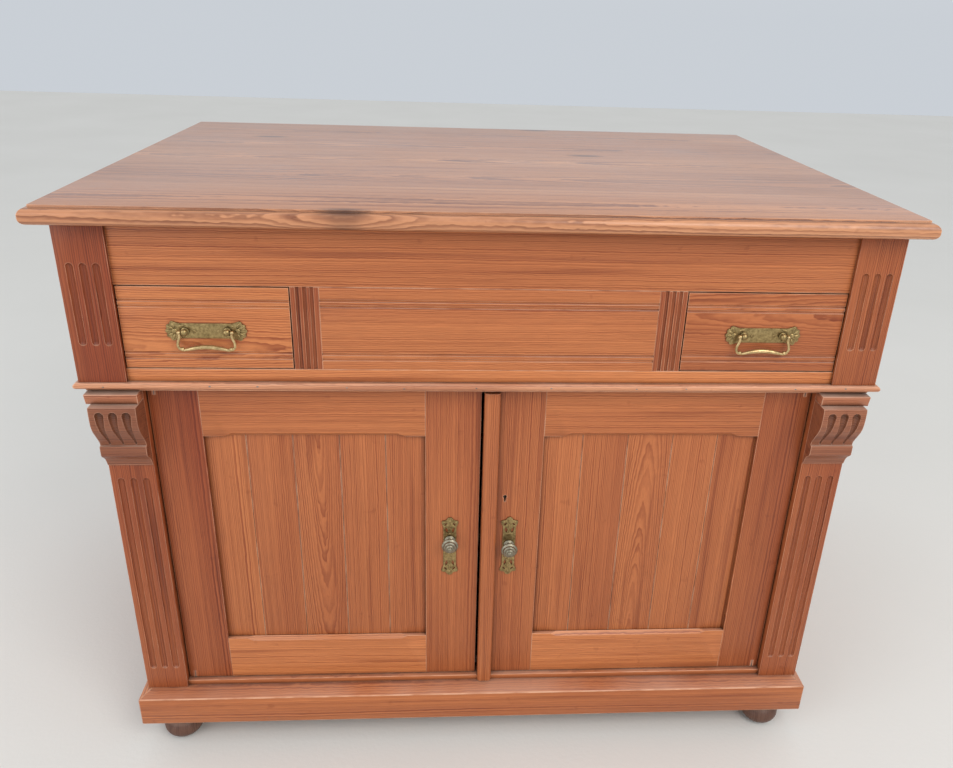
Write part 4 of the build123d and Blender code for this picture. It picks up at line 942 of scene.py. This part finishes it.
def make_nails():
    """Small cut nails, their heads just sunk in the waist moulding."""
    low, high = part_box("waist_moulding")
    chance = random.Random("nails")
    total = bmesh.new()
    count = 11
    for number in range(count):
        x = low.x + (high.x - low.x) * (number + 0.5 + chance.uniform(-0.3, 0.3)) / count
        z = high.z - 4.2 * MM + chance.uniform(-1.2, 1.2) * MM
        dome(total, (x, low.y + 0.25 * MM, z), (1.5 * MM, 0.4 * MM, 0.9 * MM))
    smooth_except(total, 60)
    add_piece("waist_nails", total, CARCASS, "steel", "steel")


# ---------------------------------------------------------------- the cabinet
make_camera()
make_sky()
soft_lamp("key", (1.5, -2.6, 2.7), (0, 0, 0.45), 2.2, 56, (1.0, 0.97, 0.93))
soft_lamp("fill", (-2.4, -2.0, 1.5), (0, 0, 0.4), 2.4, 24, (0.93, 0.96, 1.0))
bpy.context.scene.view_settings.view_transform = "Standard"

floor_mesh = bmesh.new()
bmesh.ops.create_grid(floor_mesh, x_segments=2, y_segments=2, size=9.0)
floor_data = bpy.data.meshes.new("floor")
floor_mesh.to_mesh(floor_data)
floor_mesh.free()
floor_data.materials.append(pale_floor())
floor = bpy.data.objects.new("floor", floor_data)
bpy.context.scene.collection.objects.link(floor)

finish_boards("lid_board", "lid", 0.62, "pine", along=0, planks=(-0.214, -0.068, 0.071, 0.218))
finish_boards("frieze_rail", "waxed", 0.58, "pine")
finish_boards("drawer_rail", "waxed", 0.90, "pine")
finish_boards("centre_panel", "waxed", 0.60, "pine")
finish_boards("drawer_dividers", "waxed", 0.22, "pine", arris=0.5 * MM)
# The left upper pilaster's darker tone is partly its own board and partly painted shade on that side.
finish_boards("upper_pilasters", "waxed", (0.12, 0.26), "pine", arris=0.5 * MM)
finish_boards("lower_pilasters", "waxed", (0.20, 0.24), "pine", arris=0.5 * MM)
finish_boards("waist_moulding", "rubbed", 0.75, "pine", arris=0.6 * MM)
finish_boards("plinth", "waxed", 0.58, "pine", arris=1.2 * MM)
finish_boards("sill_rail", "waxed", 0.45, "pine")
finish_boards("astragal", "waxed", 0.55, "pine")
finish_boards("upper_side_boards", "waxed", 0.45, "pine")
finish_boards("side_frames", "waxed", (0.35, 0.3, 0.45, 0.45, 0.35, 0.3, 0.45, 0.45), "pine")
finish_boards("side_panels", "waxed", 0.5, "pine", along=2, figures=("wide", "wide"))
for side in ("left", "right"):
    finish_boards(f"drawer_front_{side}", "waxed", 0.72 if side == "left" else 0.55, "pine",
                  figures=("wide",))
    # Tones of the outer stile, meeting stile, top rail and bottom rail; the left outer stile is darkest,
    # partly its own board and partly painted shade on that side.
    frame_tones_with_painted_shade = (0.10, 0.42, 0.60, 0.82) if side == "left" else (0.33, 0.40, 0.50, 0.82)
    finish_boards(f"door_frame_{side}", "waxed", frame_tones_with_painted_shade, "pine", arris=0.35 * MM, limit=50.0)
    flames = ("straight", "straight", "flame", "straight", "straight")
    finish_boards(f"door_panel_{side}", "waxed", 0.52, "pine", figures=flames, arris=0.5 * MM)
    finish_boards(f"drawer_box_{side}", "bare", 0.5, "plain_pine")
for node in ("bottom_board", "mid_deck", "back_rail", "partitions", "tray_boards", "ice_rack", "shelf",
             "shelf_bearers", "drawer_runners"):
    finish_boards(node, "bare", 0.5, "plain_pine")
finish_boards("back_boards", "bare", 0.4, "plain_pine", along=2, figures=("wide",) * 8)

make_feet()
for side, name in ((-1, "left"), (1, "right")):
    make_corbel(side, f"corbel_{name}")
    make_pull(name)
    make_knob_plate(name)
    make_knob(name)
make_nails()

SLOT_FINISHES = {
    "brass": "brass", "nickel": "nickel", "steel": "steel", "zinc": "zinc", "cork": "cork",
    "felt": "felt", "lining_board": "paint",
}
for node in frame["nodes"].values():
    for place in node.material_slots:
        if place.material and place.material.name in SLOT_FINISHES:
            place.material = FINISHES[SLOT_FINISHES[place.material.name]]
